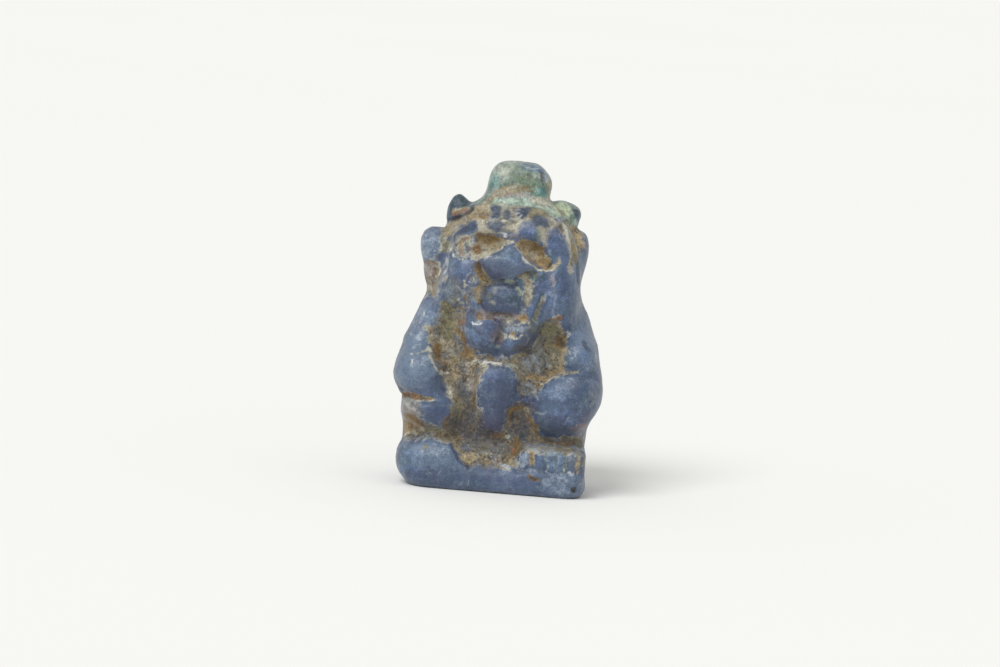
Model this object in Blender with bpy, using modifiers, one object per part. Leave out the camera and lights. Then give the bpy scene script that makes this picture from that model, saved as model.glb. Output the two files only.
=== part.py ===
"""Squatting dwarf-god amulet figurine, moulded in one piece of opaque blue glass with its plinth.

The figure faces -Y, +Z is up, and the origin is on the underside, in the middle of the outline's box.
It is worked up as a modeller works clay: soft forms are laid on each other, hollowed and scored.
"""

import math

import bmesh
import bpy
import numpy as np
from mathutils import Euler, Matrix, Vector

# Driving sizes, in metres
FIGURE_HEIGHT = 0.0284
PLINTH_HEIGHT = 0.0023
PLINTH_WIDTH = 0.0156
PLINTH_DEPTH = 0.0112
PLINTH_CORNER_RADIUS = 0.0022
PLINTH_EDGE_RADIUS = 0.0011
STUMP_WIDTH = 0.0055
STUMP_DEPTH = 0.0046

# Pose, proportions and carving are shares of the figure's height, counted in parts of it
PARTS_HIGH = 28.4
PART = FIGURE_HEIGHT / PARTS_HIGH

# Levels above the underside, in parts
COLLAR_LEVEL = 24.5
BROW_LEVEL = 22.9
EYE_LEVEL = 21.3
EAR_LEVEL = 20.4
NOSE_LEVEL = 20.0
MUZZLE_LEVEL = 17.0
BEARD_LEVEL = 14.4
SHOULDER_LEVEL = 14.8
BELLY_LEVEL = 9.6
LEFT_HAND_LEVEL = 9.7
LEFT_KNEE_LEVEL = 6.5
RIGHT_HAND_LEVEL = 12.0
RIGHT_KNEE_LEVEL = 8.3
FOOT_TOP_LEVEL = 4.6

# How far each front surface stands forward of the figure's middle, in parts
GROUND_FRONT = 4.6
FACE_FRONT = 5.0
NOSE_FRONT = 5.9
MUZZLE_FRONT = 5.6
BEARD_FRONT = 5.5
BELLY_FRONT = 5.9
KNEE_FRONT = 6.2
PLINTH_FORWARD = 0.1
PLINTH_FRONT = PLINTH_DEPTH / 2 / PART + PLINTH_FORWARD
PLINTH_BACK = PLINTH_DEPTH / 2 / PART - PLINTH_FORWARD
FOOT_FRONT = PLINTH_FRONT + 0.3

# The share of the plinth's edge radius that is cut away at the underside
UNDERSIDE_CUT = 0.15

# How fine the clay and the finished solid are
VOXEL = 0.26 * PART
FINISHED_TRIANGLES = 8600
PROJECTION_STEPS = 4
REACH = 1.6 * PART
SHELL_MARGIN = 0.12 * PART
RING_STEPS = 16
GROOVE_SPACING = 0.5 * PART
TOUCH_START = 9.0 * PART
TOUCH_STEPS = 16
PROBE = 0.02 * PART

# Places are rounded to this many decimals of a metre, so that the last digits of a sum don't matter
ROUNDING = 7

GLASS_BLUE = (0.13, 0.17, 0.25, 1.0)
GLASS_ROUGHNESS = 0.55


def place(across, forward, up):
    """A point given in parts from the figure's middle, as a vector in metres."""
    return Vector((across, -forward, up)) * PART


def soft_min(a, b, blend):
    """The smaller of two distances, with a fillet of about the blend's size where they meet."""
    near = np.maximum(blend - np.abs(a - b), 0.0) / blend
    return np.minimum(a, b) - near * near * blend / 4


def soft_max(a, b, blend):
    return -soft_min(-a, -b, blend)


def corner_distance(beyond):
    """The distance to a corner between flat sides, from how far each point lies beyond each side."""
    return np.linalg.norm(np.maximum(beyond, 0.0), axis=1) + np.minimum(beyond.max(axis=1), 0.0)


class Form:
    """A lump of clay with a box, low to high, well outside which it changes nothing."""

    def near(self, points):
        inside = (points > self.low - REACH) & (points < self.high + REACH)
        return np.flatnonzero(inside.all(axis=1))


class Ball(Form):
    """An egg-shaped lump, tilted by turn in degrees. Square above 2 makes it boxier, and below 2 sharper."""

    def __init__(self, at, half, turn=(0, 0, 0), square=2.0, blend=0.5):
        self.centre = np.array(place(*at))
        self.half = np.array(half) * PART
        self.turn = np.array(Euler([math.radians(angle) for angle in turn]).to_matrix())
        self.square = square
        self.blend = blend * PART
        spread = np.abs(self.turn * self.half).sum(axis=1)
        self.low, self.high = self.centre - spread, self.centre + spread

    def distance(self, points):
        local = np.abs((points - self.centre) @ self.turn) / self.half
        reach = np.maximum((local**self.square).sum(axis=1) ** (1 / self.square), 1e-6)
        slope = np.linalg.norm(local ** (self.square - 1) / self.half, axis=1)
        return (reach - 1.0) * reach ** (self.square - 1) / np.maximum(slope, 1e-9)

    def shells(self):
        return [("ball", self.centre, self.turn * (self.half + SHELL_MARGIN))]


class Slab(Form):
    """A block in metres, with one radius on its upright corners and another on its edges."""

    def __init__(self, centre, half, corner_radius, edge_radius, blend=0.5):
        self.centre, self.half = np.array(centre), np.array(half)
        self.corner_radius = min(corner_radius, *half[:2])
        self.edge_radius = min(edge_radius, self.corner_radius, half[2])
        self.blend = blend * PART
        self.low, self.high = self.centre - self.half, self.centre + self.half

    def distance(self, points):
        local = np.abs(points - self.centre)
        plan = corner_distance(local[:, :2] - self.half[:2] + self.corner_radius) - self.corner_radius
        sides = np.stack([plan, local[:, 2] - self.half[2]], axis=1)
        return corner_distance(sides + self.edge_radius) - self.edge_radius

    def shells(self):
        return [("cube", self.centre, np.diag(self.half + SHELL_MARGIN))]


class Limb(Form):
    """A tube through stages, each a place and a radius. Deep stretches it from front to back."""

    def __init__(self, *stages, deep=1.0, blend=0.5):
        self.places = np.array([place(*at) for at, _ in stages])
        self.radii = np.array([radius for _, radius in stages]) * PART
        self.stretch = np.array([1.0, deep, 1.0])
        self.blend = blend * PART
        spread = self.radii.max() * self.stretch
        self.low, self.high = self.places.min(axis=0) - spread, self.places.max(axis=0) + spread

    def distance(self, points):
        points, places = points / self.stretch, self.places / self.stretch
        nearest = np.full(len(points), np.inf)
        for start, end, start_radius, end_radius in zip(places, places[1:], self.radii, self.radii[1:]):
            run = end - start
            share = np.clip((points - start) @ run / (run @ run), 0.0, 1.0)
            radius = start_radius + share * (end_radius - start_radius)
            off_line = np.linalg.norm(points - start - share[:, None] * run, axis=1)
            nearest = np.minimum(nearest, off_line - radius)
        return nearest

    def shells(self):
        count = len(self.places)
        for stage in np.linspace(0, count - 1, 3 * count):
            centre = np.array([np.interp(stage, range(count), column) for column in self.places.T])
            radius = np.interp(stage, range(count), self.radii)
            yield "ball", centre, np.diag(self.stretch * (radius + SHELL_MARGIN))


def trunk():
    """The chest, the sunken ground between the belly and the limbs, and its slope down to the plinth."""
    return [
        Ball((-0.1, GROUND_FRONT - 4.8, 8.0), (6.0, 4.8, 7.4), square=2.8, blend=0.8),
        Ball((-0.1, -0.2, SHOULDER_LEVEL), (6.4, 4.2, 3.3), square=2.3, blend=0.8),
        Ball((-0.2, 0.0, 11.8), (6.6, 3.2, 4.2), square=3.0, blend=0.8),
        Limb(((-3.6, PLINTH_FRONT - 3.0, 2.3), 2.5), ((3.2, PLINTH_FRONT - 3.0, 2.3), 2.5), blend=0.8),
    ]


def plinth():
    """The worn slab that the figure squats on. It reaches below the underside, where it is cut flat."""
    below = PLINTH_EDGE_RADIUS * UNDERSIDE_CUT
    half = (PLINTH_WIDTH / 2, PLINTH_DEPTH / 2, (PLINTH_HEIGHT + below) / 2)
    centre = (0.25 * PART, -PLINTH_FORWARD * PART, (PLINTH_HEIGHT - below) / 2)
    return [Slab(centre, half, PLINTH_CORNER_RADIUS, PLINTH_EDGE_RADIUS, blend=0.5)]


def haunches():
    """The plain back: two buttocks, and a short tail that lies between them down to the plinth."""
    tail_root, tail_bend = (0.0, -4.2, 9.0), (0.0, 0.85 - PLINTH_BACK, 5.6)
    tail_end = (0.0, 0.9 - PLINTH_BACK, PLINTH_HEIGHT / PART)
    return [
        Ball((-3.1, 3.0 - PLINTH_BACK, 5.2), (3.6, 2.9, 3.6), square=2.2, blend=1.2),
        Ball((3.1, 3.0 - PLINTH_BACK, 5.2), (3.6, 2.9, 3.6), square=2.2, blend=1.2),
        Limb((tail_root, 0.45), (tail_bend, 0.75), (tail_end, 0.85), blend=0.6),
    ]


def skull():
    """The head's core, and the mane that hangs behind the face to the shoulders."""
    return [
        Ball((0.0, 0.2, 18.8), (5.9, 4.8, 5.6), square=2.5, blend=0.8),
        Ball((-0.35, -1.0, 18.0), (6.6, 3.9, 5.2), square=2.6, blend=0.6),
        Ball((-0.3, -1.6, 16.0), (6.5, 3.5, 3.6), square=2.4, blend=0.8),
        Ball((-6.4, -0.7, 18.6), (1.15, 1.7, 1.9), blend=0.6),
    ]


def crown_stump():
    """The broken foot of a crown, rising from a flared collar, with a bulge on its right shoulder."""
    half = (STUMP_WIDTH / 2 / PART, STUMP_DEPTH / 2 / PART, PARTS_HIGH - COLLAR_LEVEL)
    return [
        Ball((0.1, 0.0, COLLAR_LEVEL - 1.0), (4.4, 3.8, 1.7), blend=1.1),
        Ball((0.15, 0.1, COLLAR_LEVEL), half, square=3.6, blend=1.2),
        Ball((half[0] - 0.85, 0.1, 26.5), (1.1, half[1] - 0.7, 1.0), blend=0.6),
    ]


def tufts():
    """The two tufts beside the stump: the left one stands free, the right one is worn to a block."""
    return [
        Ball((-4.7, -0.2, 23.1), (1.25, 1.3, 2.1), turn=(0, -8, 0), square=1.7, blend=0.4),
        Ball((4.3, -0.4, 23.85), (1.45, 1.3, 1.35), turn=(0, 18, 0), square=3.0, blend=0.35),
    ]


def ears():
    return [
        Ball((-6.6, -0.2, EAR_LEVEL), (1.35, 1.8, 1.75), turn=(0, -8, 0), square=2.3, blend=0.6),
        Ball((5.55, -0.6, EAR_LEVEL + 0.2), (1.15, 1.9, 2.2), turn=(0, 6, 0), square=2.3, blend=0.6),
    ]


def brow():
    """The low forehead, and brow ridges that are worn almost away."""
    return [
        Ball((0.0, 1.3, BROW_LEVEL - 0.5), (4.9, 3.4, 2.0), square=2.6, blend=1.0),
        Limb(((-4.4, 3.2, 21.4), 0.7), ((-2.4, 3.9, BROW_LEVEL - 0.1), 0.7), ((0.0, 4.4, 21.9), 0.6), blend=0.8),
        Limb(((0.2, 4.4, 21.9), 0.6), ((2.2, 3.9, BROW_LEVEL - 0.2), 0.8), ((4.2, 3.0, 21.6), 1.0), blend=0.8),
    ]


def cheeks():
    """The broad face, and the long locks of the mane beside it."""
    return [
        Ball((0.1, FACE_FRONT - 3.9, 18.3), (5.6, 3.7, 4.3), square=3.0, blend=0.7),
        Ball((-3.2, FACE_FRONT - 1.7, 18.5), (1.7, 1.6, 1.6), square=2.6, blend=0.5),
        Ball((-4.5, FACE_FRONT - 3.3, 16.9), (1.7, 2.3, 2.3), turn=(0, 12, 0), square=2.5, blend=0.5),
        Ball((4.2, FACE_FRONT - 3.5, 18.2), (2.0, 3.2, 4.7), turn=(0, -6, 0), square=2.6, blend=0.5),
        Ball((3.6, FACE_FRONT - 1.7, 17.7), (1.4, 1.6, 2.6), turn=(0, -8, 0), square=2.5, blend=0.6),
    ]


def nose():
    """A broad, flat nose, a lozenge whose lower corner runs into the mouth."""
    return [
        Ball((-0.3, NOSE_FRONT - 1.3, NOSE_LEVEL), (3.0, 1.3, 1.6), square=1.5, blend=0.4),
        Ball((-0.2, NOSE_FRONT - 1.2, NOSE_LEVEL - 0.5), (1.5, 1.1, 0.7), blend=0.5),
    ]


def muzzle():
    """The round mouth with its tongue, and the lips around it."""
    return [
        Ball((-0.2, MUZZLE_FRONT - 2.2, MUZZLE_LEVEL), (3.1, 1.9, 2.3), square=2.6, blend=0.5),
        Ball((-0.4, MUZZLE_FRONT - 1.3, MUZZLE_LEVEL - 0.15), (2.05, 1.3, 1.4), square=2.8, blend=0.25),
    ]


def beard():
    return [
        Ball((-0.4, BEARD_FRONT - 2.1, BEARD_LEVEL + 0.1), (3.4, 1.9, 2.3), square=2.5, blend=0.5),
        Ball((-1.6, BEARD_FRONT - 1.3, 13.8), (1.4, 1.2, 1.7), turn=(0, -14, 0), square=2.4, blend=0.5),
        Ball((0.85, BEARD_FRONT - 1.4, 13.6), (1.4, 1.1, 1.6), turn=(0, 14, 0), square=2.4, blend=0.5),
    ]


def left_arm():
    """The arm on the viewer's left: down to the elbow, and forward to a fist above the knee."""
    shoulder, elbow, wrist = (-6.2, 0.1, 14.5), (-7.3, 0.9, 12.0), (-7.3, 1.6, 9.6)
    return [
        Limb((shoulder, 1.5), (elbow, 1.5), (wrist, 1.9), deep=1.8, blend=1.4),
        Ball((-6.95, 2.7, LEFT_HAND_LEVEL), (2.2, 2.8, 2.0), turn=(0, 10, 0), square=2.4, blend=0.9),
    ]


def right_arm():
    """The arm on the viewer's right, with its hand laid on top of the knee."""
    shoulder, elbow, wrist = (5.7, 0.1, 14.7), (6.6, 1.0, 12.7), (6.75, 1.8, 10.8)
    return [
        Limb((shoulder, 1.6), (elbow, 1.55), (wrist, 1.65), deep=1.8, blend=1.4),
        Ball((6.5, 2.8, RIGHT_HAND_LEVEL), (1.6, 2.3, 1.8), turn=(0, -8, 0), square=2.6, blend=0.9),
    ]


def legs():
    """Bent legs: the knees point out and forward, and the shins drop to the plinth."""
    return [
        Ball((-5.8, KNEE_FRONT - 3.4, LEFT_KNEE_LEVEL), (2.6, 3.4, 1.9), turn=(0, 10, 0), square=2.5, blend=0.5),
        Ball((6.2, KNEE_FRONT - 3.6, RIGHT_KNEE_LEVEL + 0.6), (2.7, 3.5, 2.2), square=2.5, blend=0.4),
        Ball((5.4, KNEE_FRONT - 3.5, RIGHT_KNEE_LEVEL - 0.5), (2.8, 3.5, 2.4), square=2.5, blend=0.8),
        Limb(((-6.0, 0.6, 6.6), 2.3), ((-5.9, 0.8, 2.6), 2.2), deep=1.6, blend=0.8),
        Limb(((5.7, 0.6, 6.6), 2.2), ((5.6, 0.8, 2.6), 2.1), deep=1.6, blend=0.8),
    ]


def feet():
    """The left foot is worn to a smooth lump over the plinth's corner. The right one keeps its toes."""
    toes_half = (2.8 * PART, 2.4 * PART, 1.7 * PART)
    toes_centre = (5.1 * PART, -(FOOT_FRONT - 2.4) * PART, FOOT_TOP_LEVEL * PART - toes_half[2])
    return [
        Ball((-5.4, FOOT_FRONT - 3.1, 2.3), (3.15, 3.2, 2.45), square=2.4, blend=0.4),
        Slab(toes_centre, toes_half, 1.3 * PART, 0.9 * PART, blend=0.4),
    ]


def belly():
    """A shield-shaped belly, with a low fold that joins it to the right knee."""
    return [
        Ball((-0.4, BELLY_FRONT - 2.1, BELLY_LEVEL), (2.1, 2.1, 1.95), square=2.6, blend=0.3),
        Ball((-0.6, BELLY_FRONT - 2.2, BELLY_LEVEL - 2.2), (1.6, 2.0, 2.3), square=2.4, blend=0.9),
        Ball((1.4, BELLY_FRONT - 2.4, BELLY_LEVEL - 1.4), (1.6, 1.6, 1.0), turn=(0, -10, 0), blend=0.6),
    ]


def hollows():
    """Soft cavities: the eye sockets, the recess behind each cheek and the pits between the limbs."""
    return [
        Ball((-2.3, FACE_FRONT + 0.4, EYE_LEVEL - 0.1), (1.75, 1.2, 1.05), turn=(0, -10, 0), blend=0.4),
        Ball((2.45, FACE_FRONT + 0.35, EYE_LEVEL - 0.65), (2.0, 1.2, 0.95), turn=(0, 40, 0), blend=0.4),
        Limb(((-6.7, 2.5, 20.0), 0.5), ((-7.0, 2.2, 18.4), 0.7), ((-7.2, 1.9, 16.6), 0.5), blend=0.9),
        Ball((-4.9, 5.6, 12.3), (0.9, 1.6, 1.9), turn=(0, -14, 0), blend=0.9),
        Ball((4.0, 5.7, 13.3), (0.9, 1.5, 1.5), turn=(0, 12, 0), blend=0.9),
        Ball((2.3, 6.3, 6.4), (0.9, 1.7, 1.3), turn=(0, 20, 0), blend=0.5),
        Ball((-7.9, 4.4, 4.6), (1.3, 1.8, 0.7), blend=0.5),
    ]


def ring(centre, half):
    """Points around an oval drawn on the front."""
    turns = [2 * math.pi * step / RING_STEPS for step in range(RING_STEPS + 1)]
    return [(centre[0] + half[0] * math.cos(turn), centre[1] + half[1] * math.sin(turn)) for turn in turns]


def drawn_lines():
    """Grooves drawn on the front or the back: points (across, up), then width, depth and side, in parts."""
    toes = [([(across, 2.9), (across, 4.7)], 0.5, 0.22, "front") for across in (3.35, 4.65, 6.05, 7.3)]
    return toes + [
        ([(-8.6, 7.9), (-6.8, 7.9), (-5.2, 7.7)], 0.8, 0.35, "front"),
        ([(4.7, 11.0), (6.2, 11.2), (8.2, 10.7)], 0.7, 0.3, "front"),
        ([(3.3, 17.7), (2.95, 16.4), (2.6, 15.1)], 0.6, 0.3, "front"),
        ([(-3.1, 17.3), (-3.1, 16.5), (-3.3, 15.7)], 0.6, 0.3, "front"),
        ([(-0.35, 14.9), (-0.3, 12.7)], 0.6, 0.25, "front"),
        (ring((-0.4, MUZZLE_LEVEL - 0.15), (2.2, 1.55)), 0.5, 0.2, "front"),
        ([(-2.8, 24.2), (0.2, 24.0), (3.2, 24.3)], 0.7, 0.25, "front"),
        ([(-5.7, 22.6), (-4.6, 23.1), (-3.6, 23.9)], 0.8, 0.4, "front"),
        ([(4.3, 23.2), (5.2, 21.8), (5.9, 20.2), (6.0, 18.8)], 0.8, 0.35, "front"),
        ([(2.6, 2.35), (5.0, 2.4), (7.6, 2.45)], 0.5, 0.2, "front"),
        ([(-0.1, 22.3), (-0.1, 14.2)], 1.2, 0.35, "back"),
        ([(-5.4, 13.1), (-3.0, 12.6), (2.8, 12.6), (5.2, 13.1)], 1.2, 0.3, "back"),
    ]


def surface(points, forms, cavities):
    """The signed distance from each point to the finished skin, negative inside."""
    depth = np.full(len(points), REACH)
    for form in forms:
        near = form.near(points)
        depth[near] = soft_min(depth[near], form.distance(points[near]), form.blend)
    for cavity in cavities:
        near = cavity.near(points)
        depth[near] = soft_max(depth[near], -cavity.distance(points[near]), cavity.blend)
    return depth


def first_touch(across, up, forms, cavities, facing):
    """Where a line along Y through each place first meets the skin from outside, as a Y."""
    y = np.full(len(across), TOUCH_START * facing)
    for _ in range(TOUCH_STEPS):
        y -= facing * surface(np.stack([across, y, up], axis=1), forms, cavities)
    return y


def slopes(points, forms, cavities):
    """How fast the distance grows at each point along each axis, and the distance itself."""
    here = surface(points, forms, cavities)
    ahead = [surface(points + shift, forms, cavities) for shift in np.eye(3) * PROBE]
    return (np.stack(ahead, axis=1) - here[:, None]) / PROBE, here


def groove(line, width, depth, side, forms, cavities):
    """A rod pressed into the skin, to a width and a depth, along a line drawn on the front or the back."""
    facing = -1 if side == "front" else 1
    line = np.array(line) * PART
    marks = []
    for start, end in zip(line, line[1:]):
        count = max(2, round(np.linalg.norm(end - start) / GROOVE_SPACING))
        marks.extend(start + (end - start) * share for share in np.linspace(0, 1, count, endpoint=False))
    across, up = np.array(marks + [line[-1]]).T
    touched = np.stack([across, first_touch(across, up, forms, cavities, facing), up], axis=1)
    outward, _ = slopes(touched, forms, cavities)
    outward /= np.linalg.norm(outward, axis=1, keepdims=True)
    radius = (width * width / 4 + depth * depth) / (2 * depth)
    centres = touched / PART + outward * (radius - depth)
    return Limb(*(((x, -y, z), radius) for x, y, z in centres), blend=0.25)


def starting_shapes():
    """The corners and faces of a ball and a cube, both two units across."""
    shapes = {}
    for name in ("ball", "cube"):
        mesh = bmesh.new()
        if name == "ball":
            bmesh.ops.create_icosphere(mesh, subdivisions=3, radius=1.0)
        else:
            bmesh.ops.create_cube(mesh, size=2.0)
        mesh.verts.index_update()
        corners = np.array([vert.co for vert in mesh.verts])
        shapes[name] = corners, np.array([[vert.index for vert in face.verts] for face in mesh.faces])
        mesh.free()
    return shapes


def lump(forms):
    """One closed mesh around all the forms, from their shells."""
    shapes = starting_shapes()
    corners, faces = [], []
    for form in forms:
        for name, centre, axes in form.shells():
            shape_corners, shape_faces = shapes[name]
            faces.extend((shape_faces + len(corners)).tolist())
            corners.extend(shape_corners @ axes.T + centre)
    data = bpy.data.meshes.new("clay")
    data.from_pydata(corners, [], faces)
    clay = bpy.data.objects.new("clay", data)
    bpy.context.scene.collection.objects.link(clay)
    remesh = clay.modifiers.new("one_skin", "REMESH")
    remesh.mode = "VOXEL"
    remesh.voxel_size = VOXEL
    return clay


def bake_modifiers(thing):
    """Replaces the object's mesh by what its modifiers make of it."""
    graph = bpy.context.evaluated_depsgraph_get()
    shaped = bpy.data.meshes.new_from_object(thing.evaluated_get(graph))
    thing.modifiers.clear()
    thing.data = shaped


def coordinates(data):
    points = np.empty(len(data.vertices) * 3, np.float32)
    data.vertices.foreach_get("co", points)
    return points.reshape(-1, 3).astype(float)


def order_edges(data):
    """Makes the mesh again face by face, so that its edges have the same order on every computer."""
    mesh = bmesh.new()
    corners = [mesh.verts.new(vert.co) for vert in data.vertices]
    for face in data.polygons:
        mesh.faces.new([corners[index] for index in face.vertices])
    mesh.to_mesh(data)
    mesh.free()


def even_out(data):
    """Relaxes the mesh a little, so that its faces stay even."""
    mesh = bmesh.new()
    mesh.from_mesh(data)
    bmesh.ops.smooth_vert(mesh, verts=mesh.verts, factor=0.35, use_axis_x=True, use_axis_y=True, use_axis_z=True)
    mesh.to_mesh(data)
    mesh.free()


def pull_to_surface(data, forms, cavities):
    """Moves each vertex along the slope of the distance until it lies on the skin."""
    longest_move = 2 * VOXEL
    for _ in range(PROJECTION_STEPS):
        even_out(data)
        points = coordinates(data)
        for _ in range(2):
            slope, here = slopes(points, forms, cavities)
            steepness = np.maximum((slope**2).sum(axis=1), 0.2)
            move = -(here / steepness)[:, None] * slope
            length = np.linalg.norm(move, axis=1, keepdims=True)
            points += move * np.minimum(1.0, longest_move / np.maximum(length, 1e-12))
        points = np.round(points, ROUNDING)
        data.vertices.foreach_set("co", points.astype(np.float32).ravel())
    even_out(data)


def cut_underside(data):
    """Cuts the plinth off flat at its underside and closes the cut."""
    mesh = bmesh.new()
    mesh.from_mesh(data)
    everything = mesh.verts[:] + mesh.edges[:] + mesh.faces[:]
    cut = bmesh.ops.bisect_plane(mesh, geom=everything, plane_co=(0, 0, 0), plane_no=(0, 0, -1), clear_outer=True)
    rim = [piece for piece in cut["geom_cut"] if isinstance(piece, bmesh.types.BMEdge)]
    underside = bmesh.ops.contextual_create(mesh, geom=rim)["faces"]
    bmesh.ops.triangulate(mesh, faces=underside)
    bmesh.ops.recalc_face_normals(mesh, faces=mesh.faces)
    mesh.to_mesh(data)
    mesh.free()


def centre_on_underside(data):
    """Puts the origin under the middle of the outline's box."""
    points = coordinates(data)
    middle = (points.min(axis=0) + points.max(axis=0)) / 2
    data.transform(Matrix.Translation((-middle[0], -middle[1], 0.0)))


def thin_out(figurine):
    """Brings the mesh down to the finished number of triangles."""
    triangles = sum(len(face.vertices) - 2 for face in figurine.data.polygons)
    decimate = figurine.modifiers.new("thin_out", "DECIMATE")
    decimate.ratio = min(1.0, FINISHED_TRIANGLES / triangles)
    bake_modifiers(figurine)


def blue_glass():
    material = bpy.data.materials.new("blue_glass")
    material.use_nodes = True
    shader = material.node_tree.nodes["Principled BSDF"]
    shader.inputs["Base Color"].default_value = GLASS_BLUE
    shader.inputs["Roughness"].default_value = GLASS_ROUGHNESS
    shader.inputs["Metallic"].default_value = 0.0
    return material


def make_figurine():
    forms = (
        trunk() + plinth() + haunches() + skull() + crown_stump() + tufts() + ears()
        + legs() + feet() + left_arm() + right_arm() + belly()
        + brow() + cheeks() + muzzle() + beard() + nose()
    )
    cavities = hollows()
    grooves = [groove(*drawn, forms, cavities) for drawn in drawn_lines()]
    figurine = lump(forms)
    bake_modifiers(figurine)
    order_edges(figurine.data)
    pull_to_surface(figurine.data, forms, cavities + grooves)
    thin_out(figurine)
    cut_underside(figurine.data)
    centre_on_underside(figurine.data)
    figurine.name = "figurine"
    figurine.data.name = "figurine"
    figurine.data.shade_smooth()
    figurine.data.materials.clear()
    figurine.data.materials.append(blue_glass())
    return figurine


def main():
    for thing in list(bpy.data.objects):
        bpy.data.objects.remove(thing)
    collection = bpy.data.collections.new("glass_figurine")
    bpy.context.scene.collection.children.link(collection)
    figurine = make_figurine()
    bpy.context.scene.collection.objects.unlink(figurine)
    collection.objects.link(figurine)


main()
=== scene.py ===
"""Looks of the glass amulet figurine: its fine carving, dirt, patina, scratches and light."""

import itertools
import math

import bpy
import numpy as np
from mathutils import Matrix, Vector


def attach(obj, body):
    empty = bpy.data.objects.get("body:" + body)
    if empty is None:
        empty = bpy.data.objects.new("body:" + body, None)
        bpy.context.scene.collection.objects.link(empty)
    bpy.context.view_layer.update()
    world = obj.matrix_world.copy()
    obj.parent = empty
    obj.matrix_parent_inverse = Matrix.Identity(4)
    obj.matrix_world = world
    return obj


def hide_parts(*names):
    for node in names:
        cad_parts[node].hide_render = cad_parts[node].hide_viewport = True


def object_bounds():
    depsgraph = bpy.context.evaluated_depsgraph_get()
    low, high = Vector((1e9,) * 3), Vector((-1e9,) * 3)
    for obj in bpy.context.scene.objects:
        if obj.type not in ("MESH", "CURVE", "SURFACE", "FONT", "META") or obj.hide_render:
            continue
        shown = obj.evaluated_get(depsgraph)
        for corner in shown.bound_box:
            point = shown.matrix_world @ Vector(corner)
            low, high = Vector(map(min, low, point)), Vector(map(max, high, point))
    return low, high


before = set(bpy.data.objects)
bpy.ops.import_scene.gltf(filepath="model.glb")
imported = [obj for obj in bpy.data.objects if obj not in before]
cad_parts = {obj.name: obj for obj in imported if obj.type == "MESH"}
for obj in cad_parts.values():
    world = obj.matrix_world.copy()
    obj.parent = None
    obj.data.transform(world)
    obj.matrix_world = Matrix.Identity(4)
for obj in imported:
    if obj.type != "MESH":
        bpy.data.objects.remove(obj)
CAD_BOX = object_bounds()

MM = 0.001

# The mesh: how fine it is, the most triangles it may have, and the rounds and shares of the smoothing and
# swelling that even out the steps between its voxels
FINENESS = 0.145 * MM
MOST_TRIANGLES = 199_000
EVENINGS = ((4, 0.5), (4, -0.52)) * 3 + ((2, 0.5),)

# How hollows are found: rounds of evening out, and the depth below the result that counts, in millimetres
HOLLOWS = ((12, 0.05), (90, 0.25))
CREASE = (6, 0.03)

# The photograph's view: its tilt and roll in degrees, its distance in metres and its scale
VIEW_ELEVATION = 6.0
VIEW_ROLL = 4.8
VIEW_DISTANCE = 0.40
PIXELS_PER_MM = 11.523
PICTURE_WIDTH = 1000
SENSOR = 36.0

# In millimetres: the picture's middle on the figure, how far forward the front stands there, and where the
# front's own measures start
PICTURE_MIDDLE = (-0.17, 13.85)
FRONT_FORWARD = 5.8
FRONT_SHIFT = 0.3
FRONT_LIFT = 0.59

# Noises over the piece: size in millimetres, seed and octaves
ROUGH = (1.6, 3, 4)
RAGGED = ((0.7, 21, 4), (0.7, 31, 4))
SPOTTED = (0.7, 41, 2)
DRIFT = (2.5, 51, 3)
WORN = (3.2, 71, 3)
PITS = (0.5, 11, 3)
WAVES = (1.5, 17, 3)
DIMPLES = (0.45, 61, 2)
LATTICE = 32

# How far the ragged noise moves the edges of paint and of carving, in millimetres
RAGGED_PAINT = 0.32
RAGGED_CARVING = 0.06

# Depths in millimetres
INSET = 0.03
EYE_DEPTH = 0.09
DIRT_DEPTH = 0.06
PIT_DEPTH = 0.08
WAVE_DEPTH = 0.09
DIMPLE_DEPTH = 0.04

# How far a surface turns to the front before it takes the front's dirt and paint in full
FACING = 0.35

# Where the edges of the drawn shapes start and end: shares of a line's half width or of an oval's size, and
# millimetres for an outline
LINE_EDGE = (-1.6, -0.4)
OVAL_EDGE = (-0.3, 0.35)
OUTLINE_EDGE = (-0.12, 0.16)
PATCH_EDGE = (-0.4, 0.6)
RAISED_EDGE = (-0.3, 0.45)
CARVED_EDGE = (-1.6, 0.0)

# The levels between which the green patina sets in, in millimetres
PATINA_LEVELS = (23.2, 25.2)

# Colours, as they look on a screen, from 0 to 255
GLASS_DEEP = (58, 75, 102)
GLASS_MIDDLE = (74, 92, 122)
# Bloom of the glass, and also the painted highlight on its ridges
GLASS_BLOOM_AND_HIGHLIGHT = (104, 118, 136)
# Painted light and painted shade on the glass
GLASS_LIGHT = (108, 126, 148)
GLASS_SHADE = (44, 54, 84)
GLASS_DARK = (38, 48, 66)
GLASS_VIOLET = (82, 84, 118)
GLASS_TEAL = (72, 104, 118)
SCRATCH = (164, 170, 170)
DIRT_DARK = (56, 46, 32)
DIRT_BROWN = (116, 98, 66)
DIRT_GREY = (92, 88, 78)
DIRT_PALE = (156, 149, 126)
DIRT_TAN = (162, 146, 110)
RIM_CREAM = (190, 187, 168)
PATINA_MINT = (164, 184, 164)
PATINA_GREEN = (110, 130, 116)
PATINA_GREY = (142, 152, 146)
PATINA_DARK = (72, 84, 72)
# Painted shade for the creases
CREASE_SHADE = (30, 30, 36)
FLOOR = (247, 247, 243)
FLOOR_LIGHT = (250, 250, 246)

# The floor's reach in metres, and the light
FLOOR_REACH = 3.0
SKY_COLOUR = (1.0, 1.0, 0.99, 1.0)
SKY_STRENGTH = 0.58
SUN_STRENGTH = 1.9
SUN_SPREAD = 28
SUN_DIRECTION = (0.35, 0.62, -0.72)


def linear(colour):
    """A screen colour as the light values that nodes take."""
    shares = [channel / 255 for channel in colour]
    values = [share / 12.92 if share <= 0.04045 else ((share + 0.055) / 1.055) ** 2.4 for share in shares]
    return (*values, 1.0)


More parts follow.
